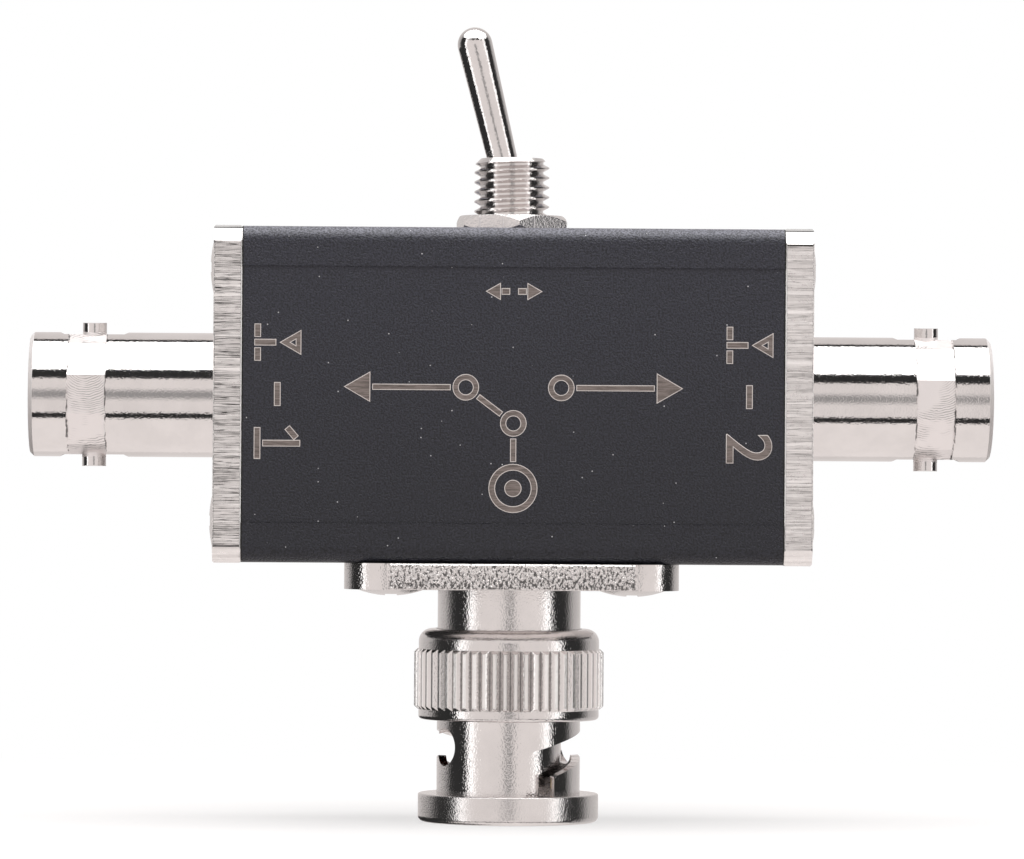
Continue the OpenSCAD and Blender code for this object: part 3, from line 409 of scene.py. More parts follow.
def flange_nickel():
    """Nickel with coarse broken faces between the flange's polished corners, with painted shade in their
    pits.
    """
    material, tree, shader = start_material("nickel_flange")
    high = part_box("plug_flange")[1]
    fine = use_group(tree, GRAIN, Grain_Scale=7000.0, Patch_Scale=PLATING_PATCHES)
    spot = object_point(tree)
    axes = split(tree, spot)
    across = [calc(tree, "ABSOLUTE", axes[0]), calc(tree, "ABSOLUTE", axes[1])]
    outer = calc(tree, "MAXIMUM", *across)
    inner = calc(tree, "MINIMUM", *across)
    on_side = calc(tree, "GREATER_THAN", outer, high.x - SURFACE_GAP)
    flat = both(tree, on_side, ramp_between(tree, inner, *FLANGE_CORNER))
    bottom = high.z - FLANGE_THICKNESS
    rim = both(tree, ramp_between(tree, axes[2], high.z, high.z - FLANGE_RIM),
               ramp_between(tree, axes[2], bottom, bottom + FLANGE_RIM))
    rough_zone = both(tree, flat, rim)
    chips = add(tree, "ShaderNodeTexVoronoi", {"Vector": spot, "Scale": 5600.0}, feature="F1")
    coarse = noise(tree, stretch(tree, spot, BROKEN_DENSITY), 1.0, 3.0, 0.75)
    broken = calc(tree, "ADD", calc(tree, "MULTIPLY", coarse, 0.8),
                  calc(tree, "MULTIPLY", chips.outputs["Distance"], 0.35))
    # Painted shade: the pits of the broken faces are darkened in the base colour, and the painted shade
    # spreads further towards the bottom.
    lower = ramp_between(tree, axes[2], high.z - 0.4 * MM, high.z - 1.9 * MM, 0.0, 0.05)
    pit_shade = both(tree, rough_zone, ramp_between(tree, calc(tree, "SUBTRACT", coarse, lower), 0.475, 0.435))
    pit_shaded = mix_colors(tree, calc(tree, "MULTIPLY", pit_shade, 0.9), nickel_tone(tree, fine),
                        shade(NICKEL_COLOR, 0.09))
    tree.links.new(pit_shaded, shader.inputs["Base Color"])
    shader.inputs["Metallic"].default_value = 1.0
    roughness = calc(tree, "ADD", 0.05, calc(tree, "MULTIPLY", fine["Tone"], 0.06))
    tree.links.new(roughness, shader.inputs["Roughness"])
    height = calc(tree, "ADD", calc(tree, "MULTIPLY", fine["Height"], 0.06), both(tree, broken, rough_zone))
    set_bump(tree, shader, height, BROKEN_DEPTH)
    return material


# The jack's milled band: its place from the mouth and the distances from the axis that it lies between
BAND_START = 2.93 * MM
BAND_END = 5.94 * MM
BAND_BLUR = 0.07 * MM
BAND_BORDERS = (2.96 * MM, 5.91 * MM)
BAND_RADII = (4.4 * MM, 4.86 * MM)
# Painted highlight: the near-white base colour of the milled flats.
CUT_HIGHLIGHT_COLOR = (0.98, 0.94, 0.93, 1.0)
# Middle of the cutter's arcs, from the mouth and above the axis, and their pitch
ARC_MIDDLE = (4.4 * MM, 2.4 * MM)
ARC_PITCH = 0.17 * MM
MOUTH_RIM = (0.34 * MM, 0.28 * MM)


def jack_nickel(name):
    """Nickel of a jack, with a band of flats left by a cutter: fine arcs, a painted highlight on the flats
    and painted shade along the band's borders.
    """
    material, tree, shader = start_material("nickel_" + name)
    low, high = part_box(name)
    side = 1 if low.x > 0 else -1
    mouth = high.x if side > 0 else -low.x
    fine = use_group(tree, GRAIN, Grain_Scale=6500.0, Patch_Scale=PLATING_PATCHES)
    lines = use_group(tree, LINES, Density=PLATING_LINES, Turn=DIAGONAL)
    spot = object_point(tree)
    axes = split(tree, spot)
    from_mouth = calc(tree, "SUBTRACT", mouth, calc(tree, "MULTIPLY", axes[0], float(side)))
    above_axis = calc(tree, "SUBTRACT", axes[2], axis_z)
    wander = calc(tree, "MULTIPLY", calc(tree, "SUBTRACT", noise(tree, spot, 1500.0, 2.0), 0.5), 0.3 * MM)
    place = calc(tree, "ADD", from_mouth, wander)
    outward = length_of(tree, calc_vector(tree, 0.0, axes[1], above_axis))
    outside = both(tree, calc(tree, "GREATER_THAN", outward, BAND_RADII[0]),
                   calc(tree, "LESS_THAN", outward, BAND_RADII[1]))
    between = both(tree, ramp_between(tree, place, BAND_START, BAND_START + BAND_BLUR),
                   ramp_between(tree, place, BAND_END, BAND_END - BAND_BLUR))
    band = both(tree, outside, between)
    border = calc(tree, "MINIMUM", *[calc(tree, "ABSOLUTE", calc(tree, "SUBTRACT", place, line))
                                     for line in BAND_BORDERS])
    # Painted shade: a patchy near-black line along the band's two borders.
    patchy_dark = both(tree, both(tree, outside, ramp_between(tree, border, 0.09 * MM, 0.03 * MM)),
                ramp_between(tree, noise(tree, spot, 900.0, 2.0), 0.47, 0.55))
    from_middle = calc_vector(tree, calc(tree, "SUBTRACT", from_mouth, ARC_MIDDLE[0]), 0.0,
                              calc(tree, "SUBTRACT", above_axis, ARC_MIDDLE[1]))
    reach = calc(tree, "ADD", length_of(tree, from_middle), wander)
    arcs = calc(tree, "SINE", calc(tree, "MULTIPLY", reach, 2 * math.pi / ARC_PITCH))
    patches = ramp_between(tree, noise(tree, spot, 420.0, 2.0), 0.46, 0.6)
    cuts = both(tree, both(tree, arcs, band), both(tree, patches, fine["Tone"]))
    dark_arcs = both(tree, ramp_between(tree, arcs, 0.35, 0.9), patches)
    # The flats get the painted highlight colour, with the cutter's real arcs darker on it.
    cut_highlight_tone = mix_colors(tree, dark_arcs, CUT_HIGHLIGHT_COLOR, shade(NICKEL_COLOR, 0.6))
    tone = mix_colors(tree, calc(tree, "MULTIPLY", band, 0.9), nickel_tone(tree, fine), cut_highlight_tone)
    border_shaded = mix_colors(tree, calc(tree, "MULTIPLY", patchy_dark, 0.85), tone, shade(NICKEL_COLOR, 0.12))
    tree.links.new(border_shaded, shader.inputs["Base Color"])
    shader.inputs["Metallic"].default_value = 1.0
    dull = calc(tree, "MAXIMUM", band, ramp_between(tree, from_mouth, *MOUTH_RIM, 0.0, 2.0))
    roughness = calc(tree, "ADD", calc(tree, "ADD", 0.045, calc(tree, "MULTIPLY", fine["Tone"], 0.05)),
                     calc(tree, "MULTIPLY", dull, 0.38))
    tree.links.new(roughness, shader.inputs["Roughness"])
    grain = calc(tree, "SUBTRACT", calc(tree, "MULTIPLY", fine["Height"], 0.22),
                 calc(tree, "MULTIPLY", lines["Deep"], 0.12))
    set_bump(tree, shader, calc(tree, "ADD", grain, calc(tree, "MULTIPLY", cuts, 0.5)), 1e-5)
    return material


KNURL_DEPTH = 0.32 * MM
KNURL_LOW = 8.8 * MM
KNURL_HIGH = 13.25 * MM
KNURL_BLUR = 0.06 * MM
# Painted highlight on the knurl's crests
CREST_HIGHLIGHT_COLOR = (0.98, 0.965, 0.95, 1.0)
MOUTH_RING_TOP = (2.6 * MM, 2.4 * MM)


def knurl_nickel():
    """Nickel of the coupling nut: painted highlights on its knurl's crests, painted shade in its grooves, and
    a duller mouth ring.
    """
    material, tree, shader = start_material("nickel_knurl")
    outer_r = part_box("coupling_nut")[1].x
    fine = use_group(tree, GRAIN, Grain_Scale=7000.0, Patch_Scale=PLATING_PATCHES)
    axes = split(tree, object_point(tree))
    reach = length_of(tree, calc_vector(tree, axes[0], axes[1], 0.0))
    zone = both(tree, ramp_between(tree, axes[2], KNURL_LOW - KNURL_BLUR, KNURL_LOW),
                ramp_between(tree, axes[2], KNURL_HIGH + KNURL_BLUR, KNURL_HIGH))
    low_part = ramp_between(tree, reach, outer_r - 0.72 * KNURL_DEPTH, outer_r - 0.98 * KNURL_DEPTH)
    high_part = ramp_between(tree, reach, outer_r - 0.3 * KNURL_DEPTH, outer_r - 0.05 * KNURL_DEPTH)
    groove = both(tree, zone, low_part)
    crest = both(tree, zone, high_part)
    # Painted highlight on the crests, then painted shade in the grooves.
    painted_light = mix_colors(tree, crest, nickel_tone(tree, fine), CREST_HIGHLIGHT_COLOR)
    groove_shaded = mix_colors(tree, calc(tree, "MULTIPLY", groove, 0.52), painted_light, shade(NICKEL_COLOR, 0.2))
    tree.links.new(groove_shaded, shader.inputs["Base Color"])
    shader.inputs["Metallic"].default_value = 1.0
    roughness = calc(tree, "ADD", 0.05, calc(tree, "MULTIPLY", fine["Tone"], 0.06))
    mouth_ring = ramp_between(tree, axes[2], *MOUTH_RING_TOP, 0.0, 0.12)
    dull = calc(tree, "ADD", mouth_ring, calc(tree, "MULTIPLY", crest, 0.3))
    tree.links.new(calc(tree, "ADD", roughness, dull), shader.inputs["Roughness"])
    set_bump(tree, shader, fine["Height"], 7e-6)
    return material


PLATE_CORNER = 1.2 * MM
PLATE_COLOR = (0.94, 0.912, 0.898)
# Painted highlight along the plate's seam with the body
PLATE_SEAM_HIGHLIGHT = (1.0, 0.99, 0.98, 1.0)
# Depth below the top edge of the painted shade on the upper chamfer
PLATE_TOP_SHADE_DEPTH = 0.22 * MM


def bright_plate():
    """Sheared aluminium: thin lines across the plate's thickness and worn edges at its corners; painted shade
    at its top edge and a painted highlight along its seam with the body.
    """
    material, tree, shader = start_material("bright_plate")
    low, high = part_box("left_end_plate")
    half = (high.z - low.z) / 2
    inner_x, outer_x = -high.x, -low.x
    fine = use_group(tree, GRAIN, Grain_Scale=6500.0, Patch_Scale=420.0)
    thin = use_group(tree, LINES, Density=(110.0, 6000.0, 6000.0))
    broad = use_group(tree, LINES, Density=(90.0, 2300.0, 2300.0))
    axes = split(tree, object_point(tree))
    out = calc(tree, "ABSOLUTE", axes[1])
    up = calc(tree, "ABSOLUTE", calc(tree, "SUBTRACT", axes[2], axis_z))
    across = calc(tree, "ABSOLUTE", axes[0])
    edge_on = calc(tree, "LESS_THAN", across, outer_x - SURFACE_GAP)
    corner_sum = 2 * half - PLATE_CORNER
    bevel = ramp_between(tree, calc(tree, "ADD", out, up), corner_sum - 0.04 * MM, corner_sum - 0.005 * MM)
    face = calc(tree, "SUBTRACT", 1.0, bevel)

    def crossings(lines, width):
        """Thin strokes, where the drawn-out noise crosses its middle."""
        away = calc(tree, "ABSOLUTE", calc(tree, "SUBTRACT", lines["Lines"], 0.5))
        return ramp_between(tree, away, width, width * 0.2)

    finer = ramp_between(tree, axes[0], -10 * MM, 10 * MM, 1.0, 0.5)
    strokes = calc(tree, "ADD", calc(tree, "MULTIPLY", crossings(thin, 0.12), 0.95),
                   calc(tree, "MULTIPLY", crossings(broad, 0.09), 0.4), clamp=True)
    marks = both(tree, both(tree, strokes, finer), face)
    patchy_dark = ramp_between(tree, thin["Lines"], 0.78, 0.42)
    flat_top = half - PLATE_CORNER
    near_corner = ramp_between(tree, up, flat_top - 0.2 * MM, flat_top - 0.1 * MM)
    corner_line = both(tree, both(tree, near_corner, face), patchy_dark)
    scored = both(tree, calc(tree, "ADD", marks, corner_line, clamp=True), edge_on)
    shader.inputs["Metallic"].default_value = 1.0
    base = mix_colors(tree, broad["Lines"], shade(PLATE_COLOR, 0.92), shade(PLATE_COLOR, 1.06))
    lined = mix_colors(tree, scored, base, shade(PLATE_COLOR, 0.08))
    # Painted shade: the top of the upper chamfer is darkened, with a darker line at its lower side; the lower
    # chamfer is left as it is.
    rim = both(tree, ramp_between(tree, axes[2], high.z - PLATE_TOP_SHADE_DEPTH - 0.06 * MM, high.z - PLATE_TOP_SHADE_DEPTH), bevel)
    rim_shade_line = both(tree, rim, ramp_between(tree, up, half - 0.12 * MM, half - 0.18 * MM))
    rim_shaded = mix_colors(tree, rim_shade_line, mix_colors(tree, rim, lined, shade(PLATE_COLOR, 0.26)),
                        shade(PLATE_COLOR, 0.07))
    # Painted highlight: a near-white line on the face along the seam with the body.
    seam_highlight = ramp_between(tree, across, inner_x + 0.11 * MM, inner_x + 0.05 * MM)
    tree.links.new(mix_colors(tree, both(tree, face, seam_highlight), rim_shaded, PLATE_SEAM_HIGHLIGHT),
                   shader.inputs["Base Color"])
    rim_side = calc(tree, "ADD", ramp_between(tree, across, inner_x + 0.13 * MM, inner_x + 0.08 * MM),
                    ramp_between(tree, across, outer_x - 0.13 * MM, outer_x - 0.08 * MM), clamp=True)
    frosted = calc(tree, "MULTIPLY", ramp_between(tree, thin["Lines"], 0.55, 0.85), 0.3)
    worn = calc(tree, "MAXIMUM", frosted, calc(tree, "MULTIPLY", both(tree, rim_side, face), 0.5))
    roughness = calc(tree, "ADD", 0.26, calc(tree, "MULTIPLY", fine["Tone"], 0.12))
    tree.links.new(calc(tree, "ADD", roughness, worn), shader.inputs["Roughness"])
    cut = both(tree, both(tree, broad["Lines"], face), edge_on)
    height = calc(tree, "ADD", calc(tree, "MULTIPLY", cut, 0.8), calc(tree, "MULTIPLY", fine["Height"], 0.3))
    set_bump(tree, shader, height, 1.2e-5)
    return material


BODY_COLOR = (0.0165, 0.0172, 0.0245)
# Painted highlight on the body's top edge
BODY_EDGE_HIGHLIGHT = (0.17, 0.17, 0.2, 1.0)
SPECK_COLOR = (0.6, 0.6, 0.62, 1.0)
# Distances from the body's top, and from its ends, that the painted highlight on the top edge and the dark
# ends run between
BODY_HIGHLIGHT_BAND = (0.95 * MM, 0.15 * MM)
BODY_END = (0.14 * MM, 0.06 * MM)


def black_anodised():
    """Black anodising over a blasted surface, dark at its ends, with specks; painted light makes it lighter
    towards the top, with a painted highlight on its top edge.
    """
    material, tree, shader = start_material("black_anodised")
    fine = use_group(tree, GRAIN, Grain_Scale=7000.0, Patch_Scale=210.0)
    spot = object_point(tree)
    x, _, z = split(tree, spot)
    # Painted light and shade: the base colour is scaled from darker at the bottom to lighter at the top.
    rise = ramp_between(tree, z, housing_low.z, housing_high.z, 0.78, 1.25)
    base = mix_colors(tree, fine["Height"], shade(BODY_COLOR, 0.45), shade(BODY_COLOR, 1.55))
    # Painted highlight: a paler grainy band along the top edge.
    highlight_zone = ramp_between(tree, z, *[housing_high.z - depth for depth in BODY_HIGHLIGHT_BAND])
    edge = both(tree, highlight_zone, ramp_between(tree, fine["Height"], 0.15, 0.85, 0.3, 1.0))
    edge_highlighted = mix_colors(tree, calc(tree, "MULTIPLY", edge, 0.8), base, BODY_EDGE_HIGHLIGHT)
    painted_light = add(tree, "ShaderNodeVectorMath", {0: edge_highlighted, "Scale": rise}, operation="SCALE").outputs[0]
    cells = add(tree, "ShaderNodeTexVoronoi", {"Vector": spot, "Scale": 1300.0, "Randomness": 1.0},
                feature="F1").outputs
    draw = add(tree, "ShaderNodeSeparateColor", {0: cells["Color"]}).outputs[0]
    speck = both(tree, calc(tree, "GREATER_THAN", draw, 0.72),
                 ramp_between(tree, cells["Distance"], 0.08, 0.045))
    end = ramp_between(tree, calc(tree, "ABSOLUTE", x), *[housing_high.x - depth for depth in BODY_END])
    ended = mix_colors(tree, end, painted_light, BLACK)
    tree.links.new(mix_colors(tree, calc(tree, "MULTIPLY", speck, 0.75), ended, SPECK_COLOR),
                   shader.inputs["Base Color"])
    tree.links.new(calc(tree, "ADD", 0.3, calc(tree, "MULTIPLY", fine["Patches"], 0.06)),
                   shader.inputs["Roughness"])
    shader.inputs["Specular IOR Level"].default_value = 0.42
    set_bump(tree, shader, fine["Height"], 3.6e-5)
    return material


MARK_FILL = ((0.10, 0.082, 0.074, 1.0), (0.21, 0.175, 0.16, 1.0))
MARK_EDGE_COLOR = (0.56, 0.52, 0.50, 1.0)


def engraved_aluminium(front_y):
    """Laser marks: grey-brown hatched fill inside a lighter burnt edge."""
    material, tree, shader = start_material("engraved_mark")
    fine = use_group(tree, GRAIN, Grain_Scale=9000.0, Patch_Scale=600.0)
    lines = use_group(tree, LINES, Density=(900.0, 900.0, 9000.0))
    y = split(tree, object_point(tree))[1]
    edge = calc(tree, "GREATER_THAN", y, front_y + 0.002 * MM)
    fill = mix_colors(tree, lines["Lines"], *MARK_FILL)
    tree.links.new(mix_colors(tree, edge, fill, MARK_EDGE_COLOR), shader.inputs["Base Color"])
    roughness = calc(tree, "ADD", 0.48, calc(tree, "MULTIPLY", fine["Tone"], 0.15))
    tree.links.new(roughness, shader.inputs["Roughness"])
    shader.inputs["Metallic"].default_value = 0.25
    set_bump(tree, shader, fine["Height"], 4e-6)
    return material


def plain_finish(name, color, rough, metallic=0.0, grain=5000.0, depth=3e-6, density=None):
    """Finish of the small inner pieces: grain, slow tone and, on turned ones, tool lines."""
    material, tree, shader = start_material(name)
    fine = use_group(tree, GRAIN, Grain_Scale=grain, Patch_Scale=350.0)
    shader.inputs["Metallic"].default_value = metallic
    set_color(tree, shader, fine["Patches"], color, 0.88, 1.08)
    roughness = calc(tree, "ADD", rough, calc(tree, "MULTIPLY", fine["Tone"], 0.12))
    tree.links.new(roughness, shader.inputs["Roughness"])
    height = fine["Height"]
    if density:
        lines = use_group(tree, LINES, Density=density)
        height = calc(tree, "ADD", calc(tree, "MULTIPLY", height, 0.4),
                      calc(tree, "MULTIPLY", lines["Lines"], 0.8))
    set_bump(tree, shader, height, depth)
    return material


DRAWN_LINES = (500.0, 5000.0, 5000.0)
TURNED_LINES = (5200.0, 700.0, 700.0)
FINISHES = {
    "black_anodised": black_anodised(),
    "bright_plate": bright_plate(),
    "nickel": plated_metal("nickel", NICKEL_COLOR, turn=DIAGONAL),
    "nickel_screw": plated_metal("nickel_screw", (0.77, 0.745, 0.735), rough=0.1, grain=7000.0),
    "spring_steel": plain_finish("spring_steel", (0.52, 0.52, 0.53), 0.26, 1.0, density=DRAWN_LINES),
    "gold_contact": plain_finish("gold_contact", (0.86, 0.62, 0.27), 0.16, 1.0, grain=9000.0, depth=1.5e-6),
    "white_insulator": plain_finish("white_insulator", (0.84, 0.84, 0.81), 0.42, density=TURNED_LINES),
    "dark_plastic": plain_finish("dark_plastic", (0.055, 0.03, 0.028), 0.38, grain=2600.0, depth=6e-6),
    "red_rubber": plain_finish("red_rubber", (0.42, 0.09, 0.06), 0.62, grain=3800.0, depth=9e-6),
    "tinned_copper": plain_finish("tinned_copper", (0.66, 0.66, 0.64), 0.24, 1.0, grain=3000.0, depth=5e-6),
}
PART_FINISHES = {
    "plug_flange": flange_nickel(),
    "coupling_nut": knurl_nickel(),
    "plug_outer_contact": plated_metal("nickel_plug", NICKEL_COLOR, rough=0.05, grain=7000.0, depth=8e-6,
                                       turn=DIAGONAL, scratch=0.25),
    "left_jack_shell": jack_nickel("left_jack_shell"),
    "right_jack_shell": jack_nickel("right_jack_shell"),
    "toggle_nut": plated_metal("nickel_nut", NICKEL_COLOR, rough=0.2, grain=6000.0, depth=6e-6,
                               turn=UPRIGHT, scratch=0.6),
    "toggle_lever": plated_metal("nickel_lever", NICKEL_COLOR, rough=0.05),
}


def coat(piece, finish):
    """Gives the piece one finish."""
    piece.data.materials.clear()
    piece.data.materials.append(finish)


def dress_nodes():
    """Gives every node of the frame its finish."""
    for part in frame["record"]["subparts"]:
        name = part["node"]
        coat(nodes[name], PART_FINISHES.get(name, FINISHES[part["material_slot"]]))


# ---------- modelling helpers ----------

def begin():
    """Nothing selected, in object mode, before a primitive is added."""
    if bpy.context.object and bpy.context.object.mode == "EDIT":
        bpy.ops.object.mode_set(mode="OBJECT")
    bpy.ops.object.select_all(action="DESELECT")


def settle(piece, name):
    """Names the piece and puts its place in its mesh, so that its object sits at the origin."""
    bpy.ops.object.select_all(action="DESELECT")
    piece.select_set(True)
    bpy.context.view_layer.objects.active = piece
    bpy.ops.object.transform_apply(location=True, rotation=True, scale=True)
    piece.name = name
    piece.data.name = name
    return piece


def apply_modifier(piece, kind, **settings):
    """Adds a modifier and applies it at once."""
    modifier = piece.modifiers.new(kind.lower(), kind)
    for name, value in settings.items():
        setattr(modifier, name, value)
    bpy.ops.object.select_all(action="DESELECT")
    piece.select_set(True)
    bpy.context.view_layer.objects.active = piece
    bpy.ops.object.modifier_apply(modifier=modifier.name)


def combine(piece, other, operation):
    """Boolean of the two; the other one is used up."""
    apply_modifier(piece, "BOOLEAN", object=other, operation=operation, solver="EXACT")
    bpy.data.objects.remove(other)


def rod(radius, low, high, vertices=96):
    """Round bar between two levels, a start for other shapes."""
    begin()
    bpy.ops.mesh.primitive_cylinder_add(vertices=vertices, radius=radius, depth=high - low,
                                        location=(0, 0, (low + high) / 2))
    return settle(bpy.context.object, "rod")


def wind(outline, turns, pitch, steps):
    """Draws a closed outline round and up the Z axis, and closes the helix at both ends."""
    apply_modifier(outline, "SCREW", axis="Z", angle=2 * math.pi, screw_offset=pitch, iterations=turns,
                   steps=steps, render_steps=steps, use_smooth_shade=False)
    bpy.ops.object.mode_set(mode="EDIT")
    bpy.ops.mesh.select_all(action="DESELECT")
    bpy.ops.mesh.select_non_manifold()
    bpy.ops.mesh.edge_face_add()
    bpy.ops.mesh.select_all(action="SELECT")
    bpy.ops.mesh.normals_make_consistent(inside=False)
    bpy.ops.object.mode_set(mode="OBJECT")


# ---------- toggle bushing with its helical thread ----------

THREAD_PITCH = 0.75 * MM
THREAD_DEPTH = 0.465 * MM
BUSHING_BEVEL = 0.5 * MM
BORE_RADIUS = 2.0 * MM
TAIL_BORE_RADIUS = 2.2 * MM
NECK_HEIGHT = 0.6 * MM
NECK_STEP = 0.3 * MM
# How far the pivot pin lies below the bushing's top, and the two bores' shoulder below the pin
PIVOT_DEPTH = 3.1 * MM
BORE_REACH = 1.4 * MM
TAIL_BORE_REACH = 1.3 * MM
PIN_SLOT_RADIUS = 0.45 * MM
PIN_SLOT_WALL = 0.12 * MM
# The ridge starts inside the core; its section is less than a pitch high and narrows to its crest
RIDGE_ROOT = 0.1 * MM
RIDGE_HEIGHT = THREAD_PITCH * 0.94
CREST_SHARE = 0.14


def thread_ridge(root_r, crest_r, low, turns):
    """One helical ridge: a bar's section drawn round and up, closed at both ends."""
    begin()
    inner = root_r - RIDGE_ROOT
    bpy.ops.mesh.primitive_plane_add(size=1.0, location=((inner + crest_r) / 2, 0, low),
                                     rotation=(math.pi / 2, 0, 0))
    ridge = bpy.context.object
    ridge.scale = (crest_r - inner, RIDGE_HEIGHT, 1.0)
    settle(ridge, "thread_ridge")
    bpy.ops.object.mode_set(mode="EDIT")
    bpy.ops.mesh.select_all(action="DESELECT")
    bpy.ops.object.mode_set(mode="OBJECT")
    for vertex in ridge.data.vertices:
        vertex.select = vertex.co.x > root_r
    bpy.ops.object.mode_set(mode="EDIT")
    bpy.ops.transform.resize(value=(1, 1, CREST_SHARE))
    bpy.ops.mesh.select_all(action="SELECT")
    bpy.ops.mesh.delete(type="ONLY_FACE")
    bpy.ops.object.mode_set(mode="OBJECT")
    wind(ridge, turns, THREAD_PITCH, 72)
    return ridge


def bevelled_rod(radius, low, high, bevel):
    """Rod whose upper edge is bevelled."""
    piece = rod(radius, low, high)
    bpy.ops.object.mode_set(mode="EDIT")
    bpy.ops.mesh.select_all(action="DESELECT")
    bpy.ops.mesh.select_mode(type="EDGE")
    bpy.ops.object.mode_set(mode="OBJECT")
    for edge in piece.data.edges:
        edge.select = all(piece.data.vertices[v].co.z > high - 1e-6 for v in edge.vertices)
    bpy.ops.object.mode_set(mode="EDIT")
    bpy.ops.mesh.bevel(offset=bevel, offset_type="OFFSET", segments=1)
    bpy.ops.object.mode_set(mode="OBJECT")
    return piece


def make_bushing():
    """Bushing with its thread, its bores and the slot through which the pivot pin slides in."""
    low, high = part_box("toggle_bushing")
    crest_r = high.x
    root_r = crest_r - THREAD_DEPTH
    neck_top = low.z + NECK_HEIGHT
    pivot_z = high.z - PIVOT_DEPTH
    slot_reach = root_r - PIN_SLOT_WALL
    bushing = rod(root_r, neck_top, high.z)
    turns = math.ceil((high.z - neck_top) / THREAD_PITCH) + 1
    combine(bushing, thread_ridge(root_r, crest_r, neck_top - THREAD_PITCH / 2, turns), "UNION")
    combine(bushing, bevelled_rod(crest_r, neck_top, high.z, BUSHING_BEVEL), "INTERSECT")
    combine(bushing, rod(crest_r - NECK_STEP, low.z, neck_top + 0.1 * MM), "UNION")
    combine(bushing, rod(BORE_RADIUS, pivot_z - BORE_REACH, high.z + MM), "DIFFERENCE")
    combine(bushing, rod(TAIL_BORE_RADIUS, low.z - MM, pivot_z - TAIL_BORE_REACH), "DIFFERENCE")
    slot = rod(PIN_SLOT_RADIUS, -slot_reach, slot_reach, 32)
    slot.data.transform(Matrix.Translation((0, 0, pivot_z)) @ Matrix.Rotation(math.pi / 2, 4, "X"))
    combine(bushing, slot, "DIFFERENCE")
    begin()
    bpy.ops.mesh.primitive_cube_add(size=1.0, location=(0, 0, (low.z - MM + pivot_z) / 2))
    channel = bpy.context.object
    channel.scale = (2 * PIN_SLOT_RADIUS, 2 * slot_reach, pivot_z - low.z + MM)
    combine(bushing, settle(channel, "channel"), "DIFFERENCE")
    settle(bushing, "toggle_bushing_threaded")
    bpy.ops.object.shade_smooth_by_angle(angle=math.radians(24))
    coat(bushing, FINISHES["nickel"])
    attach(bushing, "housing")
    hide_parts("toggle_bushing")


# ---------- springs -----------------------------------------

COIL_TURNS = 5
COIL_WIRE = 0.18 * MM
WAVES = 3
WAVE_THICKNESS = 0.25 * MM


def joint_row(name):
    """The record's row of a joint."""
    return next(row for row in frame["record"]["behaviour"]["joints"] if row["name"] == name)


def hand_over(piece, node, body):
    """Lets the piece stand for a spring of the frame: gives it the spring finish, attaches it to the body,
    hides the frame's spring and gives the piece its own mesh.
    """
    coat(piece, FINISHES["spring_steel"])
    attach(piece, body)
    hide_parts(node)
    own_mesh(piece)


def make_wave_washer():
    """Flat ring bent into waves, as wide and as high as the frame's."""
    low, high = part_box("coupling_wave_washer")
    inner_r = min(math.hypot(v.co.x, v.co.y) for v in nodes["coupling_wave_washer"].data.vertices)
    begin()
    bpy.ops.mesh.primitive_circle_add(vertices=48 * WAVES, radius=high.x, fill_type="NGON")
    washer = bpy.context.object
    bpy.ops.object.mode_set(mode="EDIT")
    bpy.ops.mesh.select_all(action="SELECT")
    bpy.ops.mesh.inset(thickness=high.x - inner_r)
    bpy.ops.mesh.delete(type="FACE")
    bpy.ops.mesh.select_all(action="SELECT")
    bpy.ops.mesh.extrude_region_move(TRANSFORM_OT_translate={"value": (0, 0, WAVE_THICKNESS)})
    bpy.ops.mesh.select_all(action="SELECT")
    bpy.ops.mesh.normals_make_consistent(inside=False)
    bpy.ops.object.mode_set(mode="OBJECT")
    rise = high.z - low.z - WAVE_THICKNESS
    for vertex in washer.data.vertices:
        turn = math.atan2(vertex.co.y, vertex.co.x)
        vertex.co.z += low.z + rise * (1 - math.cos(WAVES * turn)) / 2
    settle(washer, "coupling_wave_washer_sprung")
    bpy.ops.object.shade_smooth_by_angle(angle=math.radians(30))
    hand_over(washer, "coupling_wave_washer", "housing")


def make_coil_spring():
    """Round wire wound along the lever, as wide and as long as the frame's spring."""
    along = Vector(joint_row("plunger_travel")["axis"]).normalized()
    pivot = Vector(joint_row("lever_throw")["pos_m"])
    offsets = [v.co - pivot for v in nodes["toggle_spring"].data.vertices]
    heights = [offset.dot(along) for offset in offsets]
    low, high = min(heights), max(heights)
    outer_r = max((offset - along * offset.dot(along)).length for offset in offsets)
    begin()
    bpy.ops.mesh.primitive_circle_add(vertices=10, radius=COIL_WIRE / 2, fill_type="NOTHING",
                                      location=(outer_r - COIL_WIRE / 2, 0, low + COIL_WIRE / 2),
                                      rotation=(math.pi / 2, 0, 0))
    spring = settle(bpy.context.object, "toggle_spring_coil")
    wind(spring, COIL_TURNS, (high - low - COIL_WIRE) / COIL_TURNS, 40)
    tilt = math.atan2(along.x, along.z)
    spring.data.transform(Matrix.Translation(pivot) @ Matrix.Rotation(tilt, 4, "Y"))
    bpy.ops.object.shade_smooth_by_angle(angle=math.radians(40))
    hand_over(spring, "toggle_spring", "lever")


# ---------- engraved marks on the front ----------

PANEL_DEPTH = 0.12 * MM
MARK_RISE = 0.012 * MM
MARK_CHAMFER = 0.01 * MM
MARK_EDGE = 0.07 * MM
STROKE = 0.5 * MM
FINE_STROKE = 0.46 * MM
MARK_GAP = 0.14 * MM
CONTACT_RADIUS = 1.0 * MM
